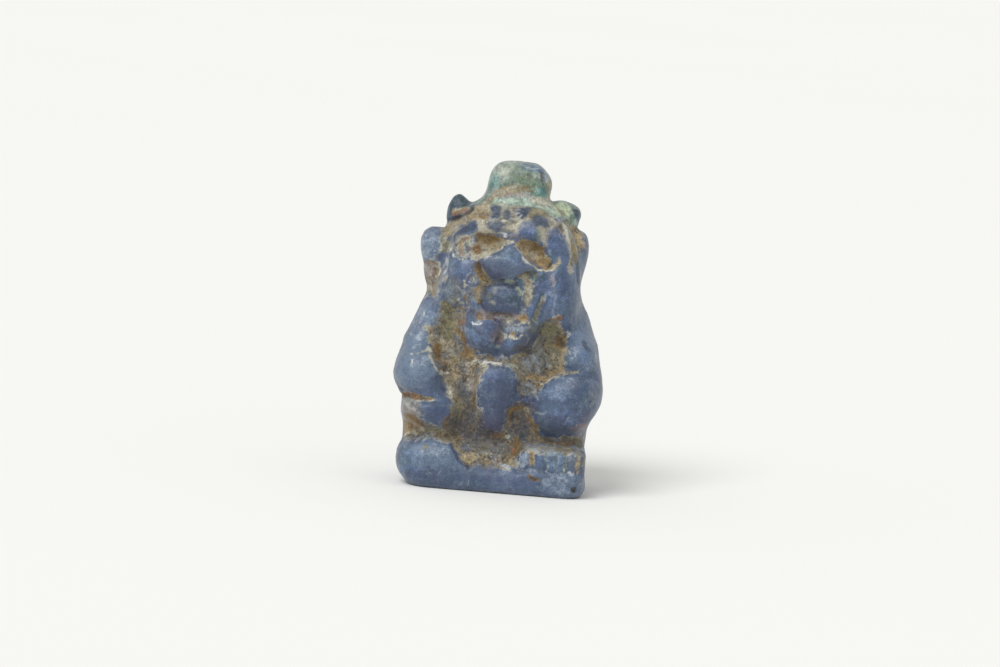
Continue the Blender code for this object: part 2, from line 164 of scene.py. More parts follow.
def read(data, kind, name, width):
    values = np.empty(len(getattr(data, kind)) * width, np.float32)
    getattr(data, kind).foreach_get(name, values)
    return values.reshape(-1, width).astype(float)


def links(data):
    """The two ends of every edge, once in each direction."""
    pairs = np.empty(len(data.edges) * 2, np.int32)
    data.edges.foreach_get("vertices", pairs)
    pairs = pairs.reshape(-1, 2)
    return np.concatenate([pairs[:, 0], pairs[:, 1]]), np.concatenate([pairs[:, 1], pairs[:, 0]])


def spread(values, joined, rounds, share=0.6):
    """Evens values out over the mesh: each round mixes a share of the neighbours' mean into a vertex."""
    here, there = joined
    size = len(values)
    count = np.maximum(np.bincount(here, minlength=size), 1)
    columns = values.reshape(size, -1).T.copy()
    for _ in range(rounds):
        for column in columns:
            mean = np.bincount(here, weights=column[there], minlength=size) / count
            column += (mean - column) * share
    return columns.T.reshape(values.shape)


def sunk(points, joined, normals, rounds, depth):
    """How far each point lies below the mesh evened out, in shares of a depth in millimetres."""
    return ((spread(points, joined, rounds) - points) * normals).sum(axis=1) / MM / depth


def ramp(values, low, high):
    """0 below low, 1 above high, and a smooth rise between."""
    share = np.clip((values - low) / (high - low), 0.0, 1.0)
    return share * share * (3 - 2 * share)


def cloud(points, size, seed):
    """Smooth noise from about -1 to 1 that varies over the given size."""
    lattice = np.random.default_rng(seed).uniform(-1, 1, (LATTICE, LATTICE, LATTICE))
    cell = points / size + 9.37 * seed
    base = np.floor(cell).astype(int)
    part = cell - base
    part = part * part * (3 - 2 * part)
    total = np.zeros(len(points))
    for corner in itertools.product((0, 1), repeat=3):
        weight = np.prod(np.where(corner, part, 1 - part), axis=1)
        index = (base + corner) % LATTICE
        total += weight * lattice[index[:, 0], index[:, 1], index[:, 2]]
    return total


def clouds(points, size, seed, octaves):
    """Noise on several sizes, the largest in millimetres and each half the last."""
    total = sum(cloud(points, size * MM / 2**k, seed + k) / 2**k for k in range(octaves))
    return total / sum(1 / 2**k for k in range(octaves))


def front_view(points):
    """Where each point shows in the photograph, in millimetres across and up from the plinth's foot."""
    x, forward, z = points[:, 0] / MM, -points[:, 1] / MM, points[:, 2] / MM
    tilt = math.radians(VIEW_ELEVATION)
    return np.stack([x - FRONT_SHIFT, z * math.cos(tilt) - forward * math.sin(tilt) + FRONT_LIFT], axis=1)


def from_line(seen, line):
    """How far each seen point lies from a drawn line."""
    nearest = np.full(len(seen), np.inf)
    corners = np.reshape(np.array(line, float), (-1, 2))
    for start, end in zip(corners, corners[1:]):
        run = end - start
        share = np.clip((seen - start) @ run / (run @ run), 0.0, 1.0)
        nearest = np.minimum(nearest, np.linalg.norm(seen - start - share[:, None] * run, axis=1))
    return nearest


def in_oval(seen, x, y, across, up, turn=0):
    """1 in the middle of an oval, 0 on its edge and less outside it; its turn is in degrees."""
    angle = math.radians(turn)
    away = seen - (x, y)
    along = away @ (math.cos(angle), math.sin(angle)) / across
    over = away @ (-math.sin(angle), math.cos(angle)) / up
    return 1.0 - np.sqrt(along**2 + over**2)


def inside(seen, outline):
    """How far each seen point lies within an outline, in millimetres, and below 0 outside it."""
    x, y = seen.T
    within = np.zeros(len(seen), bool)
    corners = np.reshape(np.array(outline, float), (-1, 2))
    for (x0, y0), (x1, y1) in zip(corners, np.roll(corners, -1, axis=0)):
        if y0 != y1:
            within ^= ((y0 > y) != (y1 > y)) & (x < (x1 - x0) * (y - y0) / (y1 - y0) + x0)
    away = from_line(seen, outline + outline[:2])
    return np.where(within, away, -away)


def arc(centre, half, start, end, steps=9):
    """Part of an oval's edge as a line, from one angle to another."""
    line = []
    for step in range(steps + 1):
        turn = math.radians(start + (end - start) * step / steps)
        line += (centre[0] + half[0] * math.cos(turn), centre[1] + half[1] * math.sin(turn))
    return line


# What the photograph shows on the front, in millimetres. A line or an outline is a list of its points,
# across and up in turn. An oval is its middle, across and up, its half sizes and, if turned, its degrees.
EYES = [
    [-3.1, 22, -2, 22.2, -1, 22.1, -0.5, 21.75, -1.4, 20.7, -2.2, 20.3, -3.3, 20.1, -3.7, 20.7, -3.2, 21.3],
    [0.2, 21.5, 0.5, 21.9, 1.1, 22.05, 1.9, 21.95, 2.5, 21.4, 2.9, 21, 3.25, 20.5, 3.35, 19.8, 2.7, 19.65,
     2, 20.1, 1.2, 20.7, 0.6, 21.2],
]

# Fields of dirt
FIELDS = [
    [-7.1, 13.8, -6.4, 14.2, -5.9, 16, -5.3, 15.9, -4.8, 14.8, -4, 13.7, -3.3, 12.6, -2.4, 11.95, -0.6,
     11.6, 1.2, 11.6, 1.3, 11.1, -0.9, 11.05, -1.5, 10.6, -1.9, 9.9, -2.1, 8.8, -1.9, 7.4, -3.9, 7.2, -4.5,
     8.6, -4.9, 9.8, -5.7, 10.4, -6.2, 11.4, -6.2, 12.6],
    [3, 14.2, 3.6, 15, 4.2, 15.9, 4.8, 15.6, 4.7, 14.9, 5.1, 13.9, 5.4, 12.9, 5.35, 12.1, 5.2, 11.3, 4.9,
     10.6, 3.5, 9.85, 2.9, 9.3, 2.2, 8.9, 1.65, 9.4, 1.5, 10.2, 0.9, 10.9, 0.9, 11.3, 1.3, 12.2, 2.3, 12.8],
    [-4.2, 7.5, -1.9, 7.6, -1.55, 6.8, -1.2, 6, -0.8, 5.45, 0.3, 5.3, 0.7, 6.3, 0.8, 7.3, 1.9, 7.9, 2.6,
     7.2, 3.2, 6.2, 3.6, 5.3, 5, 5.15, 8.2, 5.3, 8.2, 4.4, 7.2, 4, 6.6, 4.4, 5.6, 3.95, 4.8, 4.35, 4, 4,
     3.3, 4.4, 2.6, 4, 2.1, 4.3, 1.9, 2.5, -2.2, 2.3, -3, 2.9, -3.7, 4.1, -4.8, 4.6, -6.2, 4.7, -8.6, 3.8,
     -8.8, 6, -7.2, 6.2, -6, 5.6, -5, 5.3, -4.3, 6.2],
    [-5.8, 22.4, -4.6, 23.4, -3.3, 24.6, -2, 24.95, 1.5, 24.95, 3.4, 24.4, 4.3, 23.3, 3.9, 22.6, 2.6, 22.2,
     1.8, 23.2, 0.6, 23.4, -0.8, 22.5, -2.2, 22.4, -3, 22.3, -4.2, 21.2, -5.6, 20.6],
    [-7.6, 19.6, -6.3, 19.9, -6, 18.2, -6.3, 16.6, -7.5, 16.9],
    [4.9, 23.8, 6.2, 23.2, 5.9, 21.5, 5.5, 20.8, 5, 22.3],
]

MOUTH = (-0.45, 16.9)
MOUTH_HALF = (2.2, 1.6)

# Lines of dirt and of clean glass: strength, width and line
DIRT_LINES = [
    (1, 0.7, [-2.75, 19.6, -2.45, 18.8, -2.1, 18.3]), (0.9, 0.5, arc(MOUTH, MOUTH_HALF, 125, 200)),
    (0.8, 0.6, [0.7, 18.8, 1.4, 19.1, 1.5, 18.4, 1.75, 17.6, 1.7, 16.8]),
    (0.55, 0.3, [3, 17.2, 2.7, 16.3, 2.45, 15.3]), (1, 0.4, [3, 19.7, 3.6, 19.7, 3.95, 20.4]),
    (1, 0.42, [-8.9, 7.85, -7.2, 7.85, -5.9, 7.8]),
    (1, 0.5, [4.4, 24, 5, 23.4, 5.4, 22.6, 5.4, 21.4, 5.3, 20.4]), (0.7, 0.25, [5, 10.8, 6.3, 11.2]),
]

GLASS_LINES = [
    (1.2, 0.8, [-5.3, 21.5, -4.5, 22.1, -3.35, 22.9]), (1.2, 0.8, [-1.75, 24.5, -1.75, 23.6]),
    (1.2, 0.6, [0.3, 24.3, 1.3, 24.8]), (1, 0.8, [-2, 22.95, -1, 22.9]), (1, 1.3, [0.9, 22.9, 1.4, 22.6]),
    (1, 0.7, [1.9, 23.6, 2.7, 23.6]),
]

# More dirt, or less below 0: strength and oval
SOILED = [
    (0.75, -4.2, 16, 1.3, 1.9), (0.8, -0.4, 15.2, 1.9, 0.6), (0.7, 0.6, 13.9, 1.6, 0.9),
    (0.5, -0.6, 13, 1, 0.8), (0.5, -5.3, 18.6, 0.6, 1.6), (0.6, -0.4, 18.25, 1.2, 0.3),
    (0.6, -2.9, 17.8, 0.7, 1), (0.5, 2.3, 18.4, 0.7, 0.8), (0.6, 2.3, 9, 0.8, 0.9),
    (0.6, -7.6, 6.9, 1.3, 0.9), (0.45, 7.6, 6.6, 0.9, 1.2), (0.5, -0.5, 22.9, 2.6, 0.8),
    (0.6, 4.6, 3.9, 3, 0.5), (0.4, -5.5, 4.3, 2.5, 0.6), (0.5, -1.5, 6.3, 0.5, 1.2),
    (0.4, 2.6, 7.9, 1.2, 0.4),
]

# Painted light on the glass where light falls, or painted shade below 0 where shade falls: strength and
# oval
LIGHT_AND_SHADE = [
    (0.9, -7.5, 11, 1.9, 2.6), (0.7, -7.3, 14.5, 1.6, 1.8), (0.9, -7.2, 21, 1.3, 1.5),
    (0.7, 6.8, 13.5, 1.7, 2.8), (0.45, 5, 9.4, 2.2, 1.4), (-0.3, 5.6, 7.8, 2.8, 2),
    (-0.45, -0.4, 8.6, 1.9, 3), (0.3, 3.8, 17.6, 1.2, 1.8), (0.85, -5.6, 2.9, 2.8, 1.7),
    (0.6, 6, 1.2, 2.4, 1.1), (-0.4, -0.1, 20.2, 1.6, 1), (0.5, 5.9, 18.5, 0.7, 3.6),
    (0.3, -4.3, 19.3, 1.2, 0.8), (-0.8, -0.6, 6.2, 1.7, 1.3), (-0.6, 5.8, 6.3, 2.8, 1.1),
    (-0.5, 0.3, 8.6, 1.7, 1.8), (-0.5, -5, 6.6, 1.4, 0.8), (-0.4, -5.9, 0.9, 2.6, 0.9),
    (-0.6, -1.4, 19.1, 1.3, 0.4), (-0.7, 2.3, 8.5, 0.7, 0.5), (-0.6, -2.4, 13.3, 1.3, 1),
    (-0.4, 1.1, 22.8, 0.9, 0.6),
]

# The dark grey of soot is painted shade and shadow in most strokes, and dark stain in a few
PAINTS = {
    "black": (38, 32, 28), "umber": (106, 82, 44), "gold": (145, 123, 85), "tan": (154, 140, 110),
    "olive": (108, 104, 78), "beige": (160, 156, 140), "cream": (186, 184, 166), "white": (206, 206, 202),
    "rust": (134, 92, 58), "pink": (144, 132, 126), "mauve": (108, 95, 95), "grey": (106, 110, 110),
    "soot": (64, 62, 64), "violet": (58, 59, 86), "navy": (52, 66, 98), "blue": (78, 98, 134),
    "slate": (52, 66, 88), "steel": (96, 118, 144), "haze": (136, 148, 162), "petrol": (46, 66, 78),
    "moss": (98, 116, 96), "sage": (146, 158, 146), "mint": (158, 178, 162), "teal": (88, 136, 134),
    "lime": (172, 184, 152),
}

# Strokes of paint, each over the last: paint, strength, then a width and a line, an oval or an outline
STROKES = [
    # Broad painted shade beside and below the belly and under the right knee, and olive dirt in the webs
    ("soot", 0.25, (-3.2, 7.2, 1, 2.5)), ("soot", 0.3, (0, 4.6, 3, 1)),
    ("soot", 0.35, (5.6, 4.9, 2.6, 0.4)), ("olive", 0.35, (-5.2, 14.2, 1.2, 1.2)),
    ("olive", 0.35, (4.2, 13, 1.2, 1.6)),
    # Stump
    ("sage", 0.7, (-1.5, 27.7, 1.1, 1.1)), ("sage", 0.6, 0.7, [-1.6, 28.7, 0, 28.95, 1.8, 28.75]),
    ("steel", 0.75, (1.1, 28.35, 1.1, 0.45, -8)), ("slate", 0.5, (1.9, 28, 0.4, 0.3, -30)),
    ("moss", 0.5, (0.1, 27.75, 1.2, 0.8)), ("moss", 0.5, (0.9, 27, 0.9, 0.45)),
    ("olive", 0.5, (0.7, 27.5, 0.5, 0.3)), ("teal", 0.55, (-2.1, 26.9, 0.45, 0.6)),
    ("petrol", 0.4, (-2.4, 26.3, 0.3, 0.5)), ("soot", 0.65, (2.12, 27.45, 0.26, 0.42, 10)),
    ("haze", 0.5, (2.45, 27.7, 0.25, 0.5, 15)), ("tan", 0.55, 0.4, [2.85, 27.3, 2.75, 26.5, 2.95, 25.7]),
    ("umber", 0.4, 0.2, [2.65, 27, 2.6, 26.3, 2.8, 25.6]), ("moss", 0.4, (1.3, 26.6, 0.6, 0.4)),
    ("teal", 0.8, (2, 26.3, 0.55, 0.42)), ("mint", 0.5, (1.6, 26.35, 0.3, 0.2)),
    ("gold", 0.6, 0.35, [-0.5, 26.55, -1.5, 26.1, -2.6, 25.3]),
    ("beige", 0.6, 0.25, [0.5, 26.6, -0.6, 26.35, -1.7, 25.8, -2.9, 24.9]),
    ("umber", 0.6, 0.14, [0.6, 26.45, -0.6, 26.2, -1.7, 25.65, -2.9, 24.8]),
    ("tan", 0.7, 0.25, [0.9, 26.35, -0.5, 26.1, -1.7, 25.5, -3, 24.6]),
    ("umber", 0.5, 0.14, [1, 26.3, 0, 26.05, -1.4, 25.6]),
    ("umber", 0.6, 0.2, [1.2, 26.25, 0.7, 26.5, 0.1, 26.5]), ("olive", 0.5, 0.15, [0.9, 26.75, 0, 26.75]),
    ("pink", 0.55, 0.3, [-1.2, 25.7, 0, 25.85, 1, 25.75]), ("beige", 0.7, (2.2, 25.5, 1, 0.4, -5)),
    ("cream", 0.6, 0.3, [1.2, 25.6, 2.4, 25.5, 3.2, 25.1]),
    ("mint", 0.8, 0.4, [-1.9, 25.1, -0.5, 25.3, 1, 25.2, 2, 24.9]),
    ("sage", 0.6, 0.3, [-0.9, 25.05, 0.9, 24.95, 2.2, 24.6]), ("mint", 0.9, (2.9, 24.7, 0.75, 0.25, -20)),
    ("umber", 0.35, 0.2, [-0.8, 24.85, 0.9, 24.85]),
    ("petrol", 0.45, 0.3, [-1.9, 28.55, -1, 28.9, 0.2, 29]), ("moss", 0.5, (0.3, 27.4, 0.9, 0.3)),
    ("cream", 0.22, (-1.3, 28, 0.8, 0.6)), ("olive", 0.4, (-0.7, 27.6, 0.22, 0.3)),
    ("petrol", 0.35, (0.9, 27.65, 0.3, 0.2)), ("sage", 0.4, (1.5, 27.5, 0.25, 0.2)),
    ("white", 0.35, 0.14, [0.6, 28.35, 1.2, 28.2, 1.7, 28.3]),
    ("olive", 0.6, 0.16, [-0.2, 26.8, 0.5, 26.65, 1.3, 26.65]), ("petrol", 0.5, (2.25, 26.55, 0.2, 0.2)),
    # Left tuft
    ("petrol", 0.95, (-4.9, 24.8, 1.5, 1.25)), ("steel", 0.4, (-5.2, 25.3, 0.4, 0.3)),
    ("petrol", 0.7, 0.5, [-5.8, 24.3, -5.9, 23.4]),
    ("tan", 0.9, 0.35, [-5.35, 24, -4.8, 24.15, -4.3, 24.4]), ("petrol", 0.95, (-4.85, 25.1, 1.1, 0.6, 10)),
    ("rust", 0.75, 0.3, [-5.4, 23.75, -4.8, 23.95, -4.3, 24.25]),
    ("cream", 0.5, 0.16, [-5.2, 24.2, -4.7, 24.35]),
    ("black", 0.95, 0.3, [-5.5, 23.2, -4.7, 23.6, -4.05, 24.15, -3.8, 24.5]),
    # Right tuft
    ("lime", 0.85, (4, 25, 0.95, 0.6, -5)), ("olive", 0.6, (4.2, 24.6, 0.5, 0.25, -40)),
    ("umber", 0.5, 0.22, [3.3, 25.35, 3.8, 24.95, 4.35, 24.6]), ("mint", 0.6, (4.6, 24.2, 0.5, 0.4)),
    ("moss", 0.7, (5, 24.2, 0.4, 0.4)),
    ("petrol", 0.9, [4.7, 25.3, 5.3, 25.3, 5.8, 24.9, 5.6, 24.3, 5.2, 24.5, 5.1, 24.9]),
    ("mint", 0.6, (5.35, 23.8, 0.4, 0.3)), ("soot", 0.6, 0.35, [4.4, 24, 4.7, 23.5, 5, 23]),
    ("tan", 0.75, [4.7, 23.6, 5.6, 23.4, 6.3, 22.6, 6.4, 21.9, 5.8, 21.6, 5.5, 20.6, 5.1, 19.8, 4.9, 20.8,
     5, 22, 4.6, 22.8]), ("umber", 0.65, 0.32, [4.5, 24, 4.8, 23.4, 5.1, 22.9]),
    ("gold", 0.5, 0.3, [5.2, 23, 5.5, 22.2, 5.4, 21.2]), ("olive", 0.5, 0.3, [5.6, 22.4, 5.6, 21]),
    ("beige", 0.7, 0.5, [4.25, 23.5, 4.65, 22.6, 5, 21.6, 5.15, 20.6, 5.2, 19.8]),
    ("olive", 0.5, 0.25, [4.6, 23.4, 5, 22.5, 5.3, 21.4, 5.35, 20.4]),
    ("cream", 0.7, 0.25, [4.2, 23.6, 4.5, 22.8, 4.9, 22, 5.05, 21.3]), ("soot", 0.5, (3.8, 23.3, 0.3, 0.6)),
    # Forehead
    ("beige", 0.65, [-3.6, 24.6, -2, 24.95, 1.5, 24.95, 3.2, 24.4, 3.9, 23.6, 3.3, 22.9, 2.9, 21.8, 2.2,
     22.2, 1.6, 23.2, 0.4, 22.4, -0.8, 22.5, -2.2, 22.2, -3.2, 22.4, -3.4, 23.4]),
    ("tan", 0.7, [-6, 22.6, -5.5, 22.3, -3.9, 23.3, -3, 23.5, -2.3, 24, -2.5, 24.8, -3.6, 24.6, -4.4,
     23.3]), ("gold", 0.6, 0.35, [-2.2, 23.85, -3.2, 23.8, -4, 23.7]),
    ("umber", 0.7, (-2.8, 23.9, 0.32, 0.28)), ("gold", 0.9, (-2.78, 23.92, 0.13, 0.12)),
    ("umber", 0.4, 0.2, [-3.7, 24.5, -3.2, 24.1]),
    ("slate", 1, [-2.35, 24.65, -1.9, 24.85, -1.45, 24.7, -1.3, 24.1, -1.45, 23.5, -1.95, 23.4, -2.1, 24]),
    ("slate", 1, [-0.05, 24.4, 0.7, 24.8, 1.45, 24.95, 1.55, 24.75, 1.1, 24.2, 0.75, 23.8, 0.25, 24]),
    ("slate", 0.8, (-0.75, 24.15, 0.45, 0.5)), ("violet", 0.4, (0, 24.7, 0.3, 0.2)),
    ("white", 0.55, 0.14, [0, 24.1, 0.35, 24.3, 0.65, 24.2, 0.4, 23.95, 0.1, 23.95]),
    ("haze", 0.5, 0.2, [-0.4, 24.2, -0.4, 23.8]),
    ("cream", 0.7, 0.3, [0.2, 23.5, 0.8, 23.6, 0.7, 23.2, 0, 23.1]),
    ("petrol", 0.5, (-0.35, 23.6, 0.3, 0.2)), ("cream", 0.5, 0.2, [-1, 23.6, -1.2, 23.3, -2.6, 23.3]),
    ("olive", 0.7, (2, 24.35, 0.95, 0.5, -8)), ("tan", 0.6, 0.3, [1.2, 23.9, 1.6, 24.5, 2.4, 24.6]),
    ("slate", 0.9, (2.2, 23.65, 0.95, 0.42, -8)), ("blue", 0.6, (1.15, 22.95, 0.85, 0.7)),
    ("navy", 0.5, (0.9, 22.5, 0.7, 0.3)), ("slate", 0.85, (-1.6, 23, 0.9, 0.35)),
    ("slate", 0.8, (-0.8, 22.55, 0.8, 0.35, -15)),
    ("white", 0.5, 0.16, [-1.3, 22.5, -0.9, 22.45, -0.8, 22.2]),
    ("beige", 0.7, (-0.35, 22.85, 0.75, 0.28, 5)), ("beige", 0.6, (-2.75, 22.75, 0.45, 0.6)),
    ("pink", 0.4, (0, 22.2, 0.5, 0.25)), ("soot", 0.5, 0.2, [-0.9, 22, -0.2, 22.15, 0.5, 22.2]),
    ("beige", 0.7, 0.5, [2.2, 23.2, 2.6, 22.4, 2.75, 21.6]), ("moss", 0.4, (2.1, 22.6, 0.3, 0.5)),
    ("blue", 0.6, (3.4, 22.2, 0.6, 1.1, -10)), ("haze", 0.7, 0.14, [4, 22.8, 4.2, 22.2]),
    # Left temple and ear
    ("slate", 0.9, [-5.7, 21.9, -5.2, 22, -4.6, 22.5, -3.9, 23.15, -3.3, 23.3, -3.1, 23, -3.4, 22.6, -4.2,
     22.1, -4.9, 21.5, -5.4, 21.2]),
    ("beige", 0.55, [-4.9, 21.9, -4.2, 22, -3.3, 22.4, -3.3, 20.4, -3.9, 19.9, -5.4, 20.6, -5.8, 21.2]),
    ("tan", 0.75, [-6.5, 22.9, -5.6, 23.2, -4.9, 23.4, -4.3, 23.9, -4.4, 23.2, -5, 22.4, -5.6, 21.9, -6.3,
     22]), ("olive", 0.8, (-5.95, 21.05, 0.35, 0.6)), ("beige", 0.6, (-6.2, 21.9, 0.3, 0.35)),
    ("slate", 0.85, (-5.35, 21.6, 0.4, 0.3, -10)), ("violet", 0.5, (-6.05, 20.1, 0.25, 0.3)),
    ("gold", 0.8, (-4.5, 20.95, 0.22, 0.5)), ("rust", 0.4, (-4.4, 20.6, 0.2, 0.25)),
    ("moss", 0.7, (-3.9, 21.3, 0.22, 0.22)), ("violet", 0.7, (-3.75, 20.85, 0.28, 0.35)),
    ("rust", 0.5, (-4.1, 21.7, 0.35, 0.15)), ("violet", 0.5, 0.16, [-3.5, 21.9, -3, 21.5]),
    ("cream", 0.6, 0.2, [-5.6, 20.9, -5, 20.2, -4.3, 19.95]), ("umber", 0.8, (-3.15, 20.85, 0.33, 0.33)),
    ("cream", 0.5, 0.2, [-6.35, 22.6, -6.3, 21.5, -6.25, 20.4]), ("blue", 0.4, (-6.7, 21.4, 0.3, 0.6)),
    ("umber", 0.5, (-7.1, 19.5, 0.6, 0.3)), ("violet", 0.5, (-6.3, 19.95, 0.25, 0.2)),
    ("pink", 0.6, (-6.95, 18.6, 0.45, 1)), ("umber", 0.5, 0.25, [-6.6, 18.9, -6.6, 18.2]),
    ("olive", 0.5, (-7.2, 17.8, 0.3, 0.4)), ("beige", 0.6, (-6.9, 17.2, 0.4, 0.3)),
    ("cream", 0.6, 0.12, [-6.25, 19.4, -6.3, 18.2]),
    ("haze", 0.6, 0.3, [-5.5, 19.9, -5.45, 19.2, -5.6, 18.5]),
    ("white", 0.5, 0.14, [-5.6, 19.9, -5.45, 19.3, -5.6, 18.7]),
    ("haze", 0.4, 0.15, [-6, 19.2, -6.1, 18, -5.9, 17]),
    # Eyes
    ("gold", 0.85, EYES[0]), ("umber", 0.65, 0.5, [-3.1, 21.95, -2.4, 21.85, -1.7, 21.7]),
    ("umber", 0.5, 0.3, [-2.9, 22.2, -2.2, 22.25]),
    ("beige", 0.8, [-3.3, 21.4, -1.6, 21.2, -1.1, 20.9, -2.2, 20.3, -3.3, 20.1, -3.7, 20.5]),
    ("cream", 0.7, (-2.75, 20.6, 0.7, 0.3, -5)),
    ("cream", 0.8, 0.35, [-0.15, 21.65, -0.9, 21.25, -1.6, 20.75, -2.3, 20.35]),
    ("olive", 0.5, 0.14, [-0.4, 21.6, -1.1, 21.15, -1.8, 20.65]),
    ("beige", 0.75, 0.35, [-1.4, 21.45, -0.95, 21.65, -0.6, 21.75]),
    ("tan", 0.6, (-1.9, 21.25, 0.6, 0.25, 20)), ("olive", 0.5, 0.12, [-2.6, 21.5, -1.8, 21.3, -1.2, 21.4]),
    ("umber", 0.9, (-3.05, 20.9, 0.4, 0.38)), ("rust", 0.6, (-3.1, 20.95, 0.26, 0.25)),
    ("white", 0.7, (-2.05, 20.1, 0.25, 0.22)), ("cream", 0.6, 0.2, [-2.2, 20.2, -2.9, 20.05, -3.5, 20.1]),
    ("gold", 0.85, EYES[1]), ("umber", 0.6, (1.95, 21.55, 0.55, 0.3, -20)),
    ("umber", 0.45, 0.2, [1.2, 21.95, 1.8, 21.85, 2.3, 21.5]), ("tan", 0.7, (1.1, 21.1, 0.5, 0.5, 30)),
    ("beige", 0.6, (1.9, 20.75, 0.6, 0.3, -35)), ("gold", 0.6, (2.6, 20.3, 0.5, 0.3, -30)),
    ("gold", 0.6, (0.8, 21.5, 0.4, 0.4)), ("tan", 0.5, (1.2, 21.15, 0.5, 0.25, -30)),
    ("umber", 0.5, 0.2, [1.5, 20.6, 2.4, 20.05]), ("beige", 0.7, (2.75, 20.95, 0.24, 0.16)),
    ("lime", 0.5, (3.15, 20.7, 0.2, 0.12)), ("umber", 0.6, (2.95, 20.5, 0.15, 0.2)),
    ("black", 0.9, (3.1, 20, 0.16, 0.26)), ("gold", 0.6, (3, 20.5, 0.3, 0.2)),
    ("pink", 0.5, 0.2, [0.2, 21.3, 1, 20.4, 1.9, 19.8, 2.9, 19.5]),
    ("cream", 0.8, 0.16, [0.15, 21.35, 0.95, 20.35, 1.9, 19.75, 3, 19.45, 3.6, 19.6]),
    ("white", 0.6, (1.3, 20.1, 0.25, 0.12, -40)), ("beige", 0.7, 0.35, [3.5, 19.7, 3.9, 20.1, 4, 20.6]),
    ("haze", 0.5, (3.2, 21.1, 0.25, 0.15)), ("navy", 0.5, (2.8, 21.2, 0.2, 0.2)),
    ("navy", 0.5, (3.3, 20.3, 0.15, 0.2)),
    # Nose and cheeks, with painted shade under the nose and painted shadow beside the muzzle
    ("steel", 0.25, (0, 20.6, 1, 0.6)), ("haze", 0.4, 0.14, [-1.4, 20.1, -1, 20.25]),
    # The violet and navy under the nose are painted shade
    ("violet", 0.65, 0.55, [-2.7, 19.8, -1.9, 19.3, -1, 18.95]), ("navy", 0.5, (-1.6, 19.1, 0.5, 0.25)),
    ("umber", 0.7, 0.5, [-3, 19.6, -2.6, 18.9, -2.2, 18.4]), ("black", 0.4, 0.2, [-2.7, 19.4, -2.3, 18.7]),
    ("blue", 0.3, (-4.4, 19.2, 0.9, 0.8)), ("navy", 0.5, (-4.3, 18.4, 0.9, 0.3)),
    ("haze", 0.3, (-3.9, 19.7, 0.5, 0.25)), ("cream", 0.7, 0.2, [-3.75, 18, -3.85, 17.5]),
    ("blue", 0.5, (3.8, 17.6, 1.3, 1.6)), ("navy", 0.4, (2.6, 18.3, 0.6, 0.3)),
    ("petrol", 0.6, (2.9, 19, 0.5, 0.25)), ("haze", 0.4, 0.2, [3.7, 19.2, 3.8, 18, 3.9, 17, 3.9, 16.2]),
    ("haze", 0.3, (3.6, 17.5, 0.5, 0.35)), ("pink", 0.4, (3.7, 18.6, 0.3, 0.5)),
    ("olive", 0.35, (-5, 17.2, 0.8, 1.2)), ("grey", 0.4, (-3.3, 16.6, 0.5, 1.1)),
    ("soot", 0.35, (-4.2, 17.4, 0.5, 0.5)), ("violet", 0.35, (-4.9, 18, 0.5, 0.4)),
    ("beige", 0.4, 0.12, [-5.3, 18.6, -5, 18.2, -5.2, 17.6]), ("soot", 0.6, (-4.6, 15.9, 0.5, 0.35)),
    ("grey", 0.5, (-4.9, 17, 0.4, 0.5)), ("navy", 0.5, (-4.3, 16.7, 0.35, 0.3)),
    ("grey", 0.35, (0.2, 14.5, 1.6, 0.4)), ("olive", 0.35, (2.2, 14.7, 0.6, 0.6)),
    ("violet", 0.35, (1.9, 13.3, 0.6, 0.6)), ("haze", 0.35, 0.12, [-3.4, 13.6, -2.8, 12.9, -2.1, 12.6]),
    ("haze", 0.35, 0.12, [-1.6, 13.9, -1.3, 13.2]),
    # The dark strokes beside the muzzle and cheeks below are painted shadow
    ("navy", 0.4, 0.2, [-3.4, 13.2, -2.6, 12.2, -1.2, 11.9]), ("soot", 0.5, (-2.1, 17.3, 0.25, 0.5, 10)),
    ("soot", 0.5, (-2.9, 15.8, 0.4, 0.45)), ("navy", 0.5, (-2.2, 16.2, 0.35, 0.3)),
    ("soot", 0.45, 0.25, [-4.8, 16.7, -4.5, 16]), ("navy", 0.45, 0.3, [-5.4, 19.9, -5.2, 18.8]),
    ("violet", 0.4, 0.25, [-3.5, 19.8, -3.2, 18.9, -3.4, 18.2]),
    ("haze", 0.35, 0.16, [-3.4, 18.9, -3.6, 18.3]), ("navy", 0.4, (4.6, 18.5, 0.3, 1.5)),
    ("navy", 0.4, 0.2, [3.35, 17.2, 3, 16.2, 2.8, 15.3]),
    # Muzzle, with painted shadow under the nose, along its left edge and below it
    ("grey", 0.6, (-0.9, 18.35, 0.5, 0.25)), ("violet", 0.4, (-1, 18.25, 0.4, 0.2)),
    ("sage", 0.65, (-0.1, 18.35, 0.35, 0.18)), ("lime", 0.5, 0.14, [0.6, 17.7, 1, 17.55, 1.1, 17.75]),
    ("slate", 0.5, (-0.45, 16.95, 1.8, 1.35)), ("petrol", 0.45, (0.5, 16.8, 0.9, 0.7)),
    ("soot", 0.5, 0.25, [-1.3, 18.1, -0.4, 18.05, 0.6, 18]),
    ("haze", 0.35, 0.12, [-1, 17.7, -0.4, 17.8, 0.2, 17.6]),
    ("soot", 0.45, 0.14, [-0.5, 17.45, 0.2, 17.2, 0.5, 16.8]), ("beige", 0.5, (1.05, 17.45, 0.28, 0.22)),
    ("violet", 0.6, 0.45, arc(MOUTH, (1.8, 1.2), 140, 215)),
    ("soot", 0.65, 0.3, arc(MOUTH, (1.85, 1.3), 135, 200)),
    ("soot", 0.5, 0.3, arc(MOUTH, (1.95, 1.4), 130, 180)), ("navy", 0.6, (-2, 16, 0.3, 0.3)),
    ("beige", 0.5, (-1.25, 17.5, 0.14, 0.32, -20)), ("olive", 0.45, (-1.65, 17, 0.2, 0.3)),
    ("beige", 0.45, (-1.35, 16.4, 0.28, 0.15, -20)), ("haze", 0.35, 0.12, [-1.15, 17.7, -1.3, 17.3]),
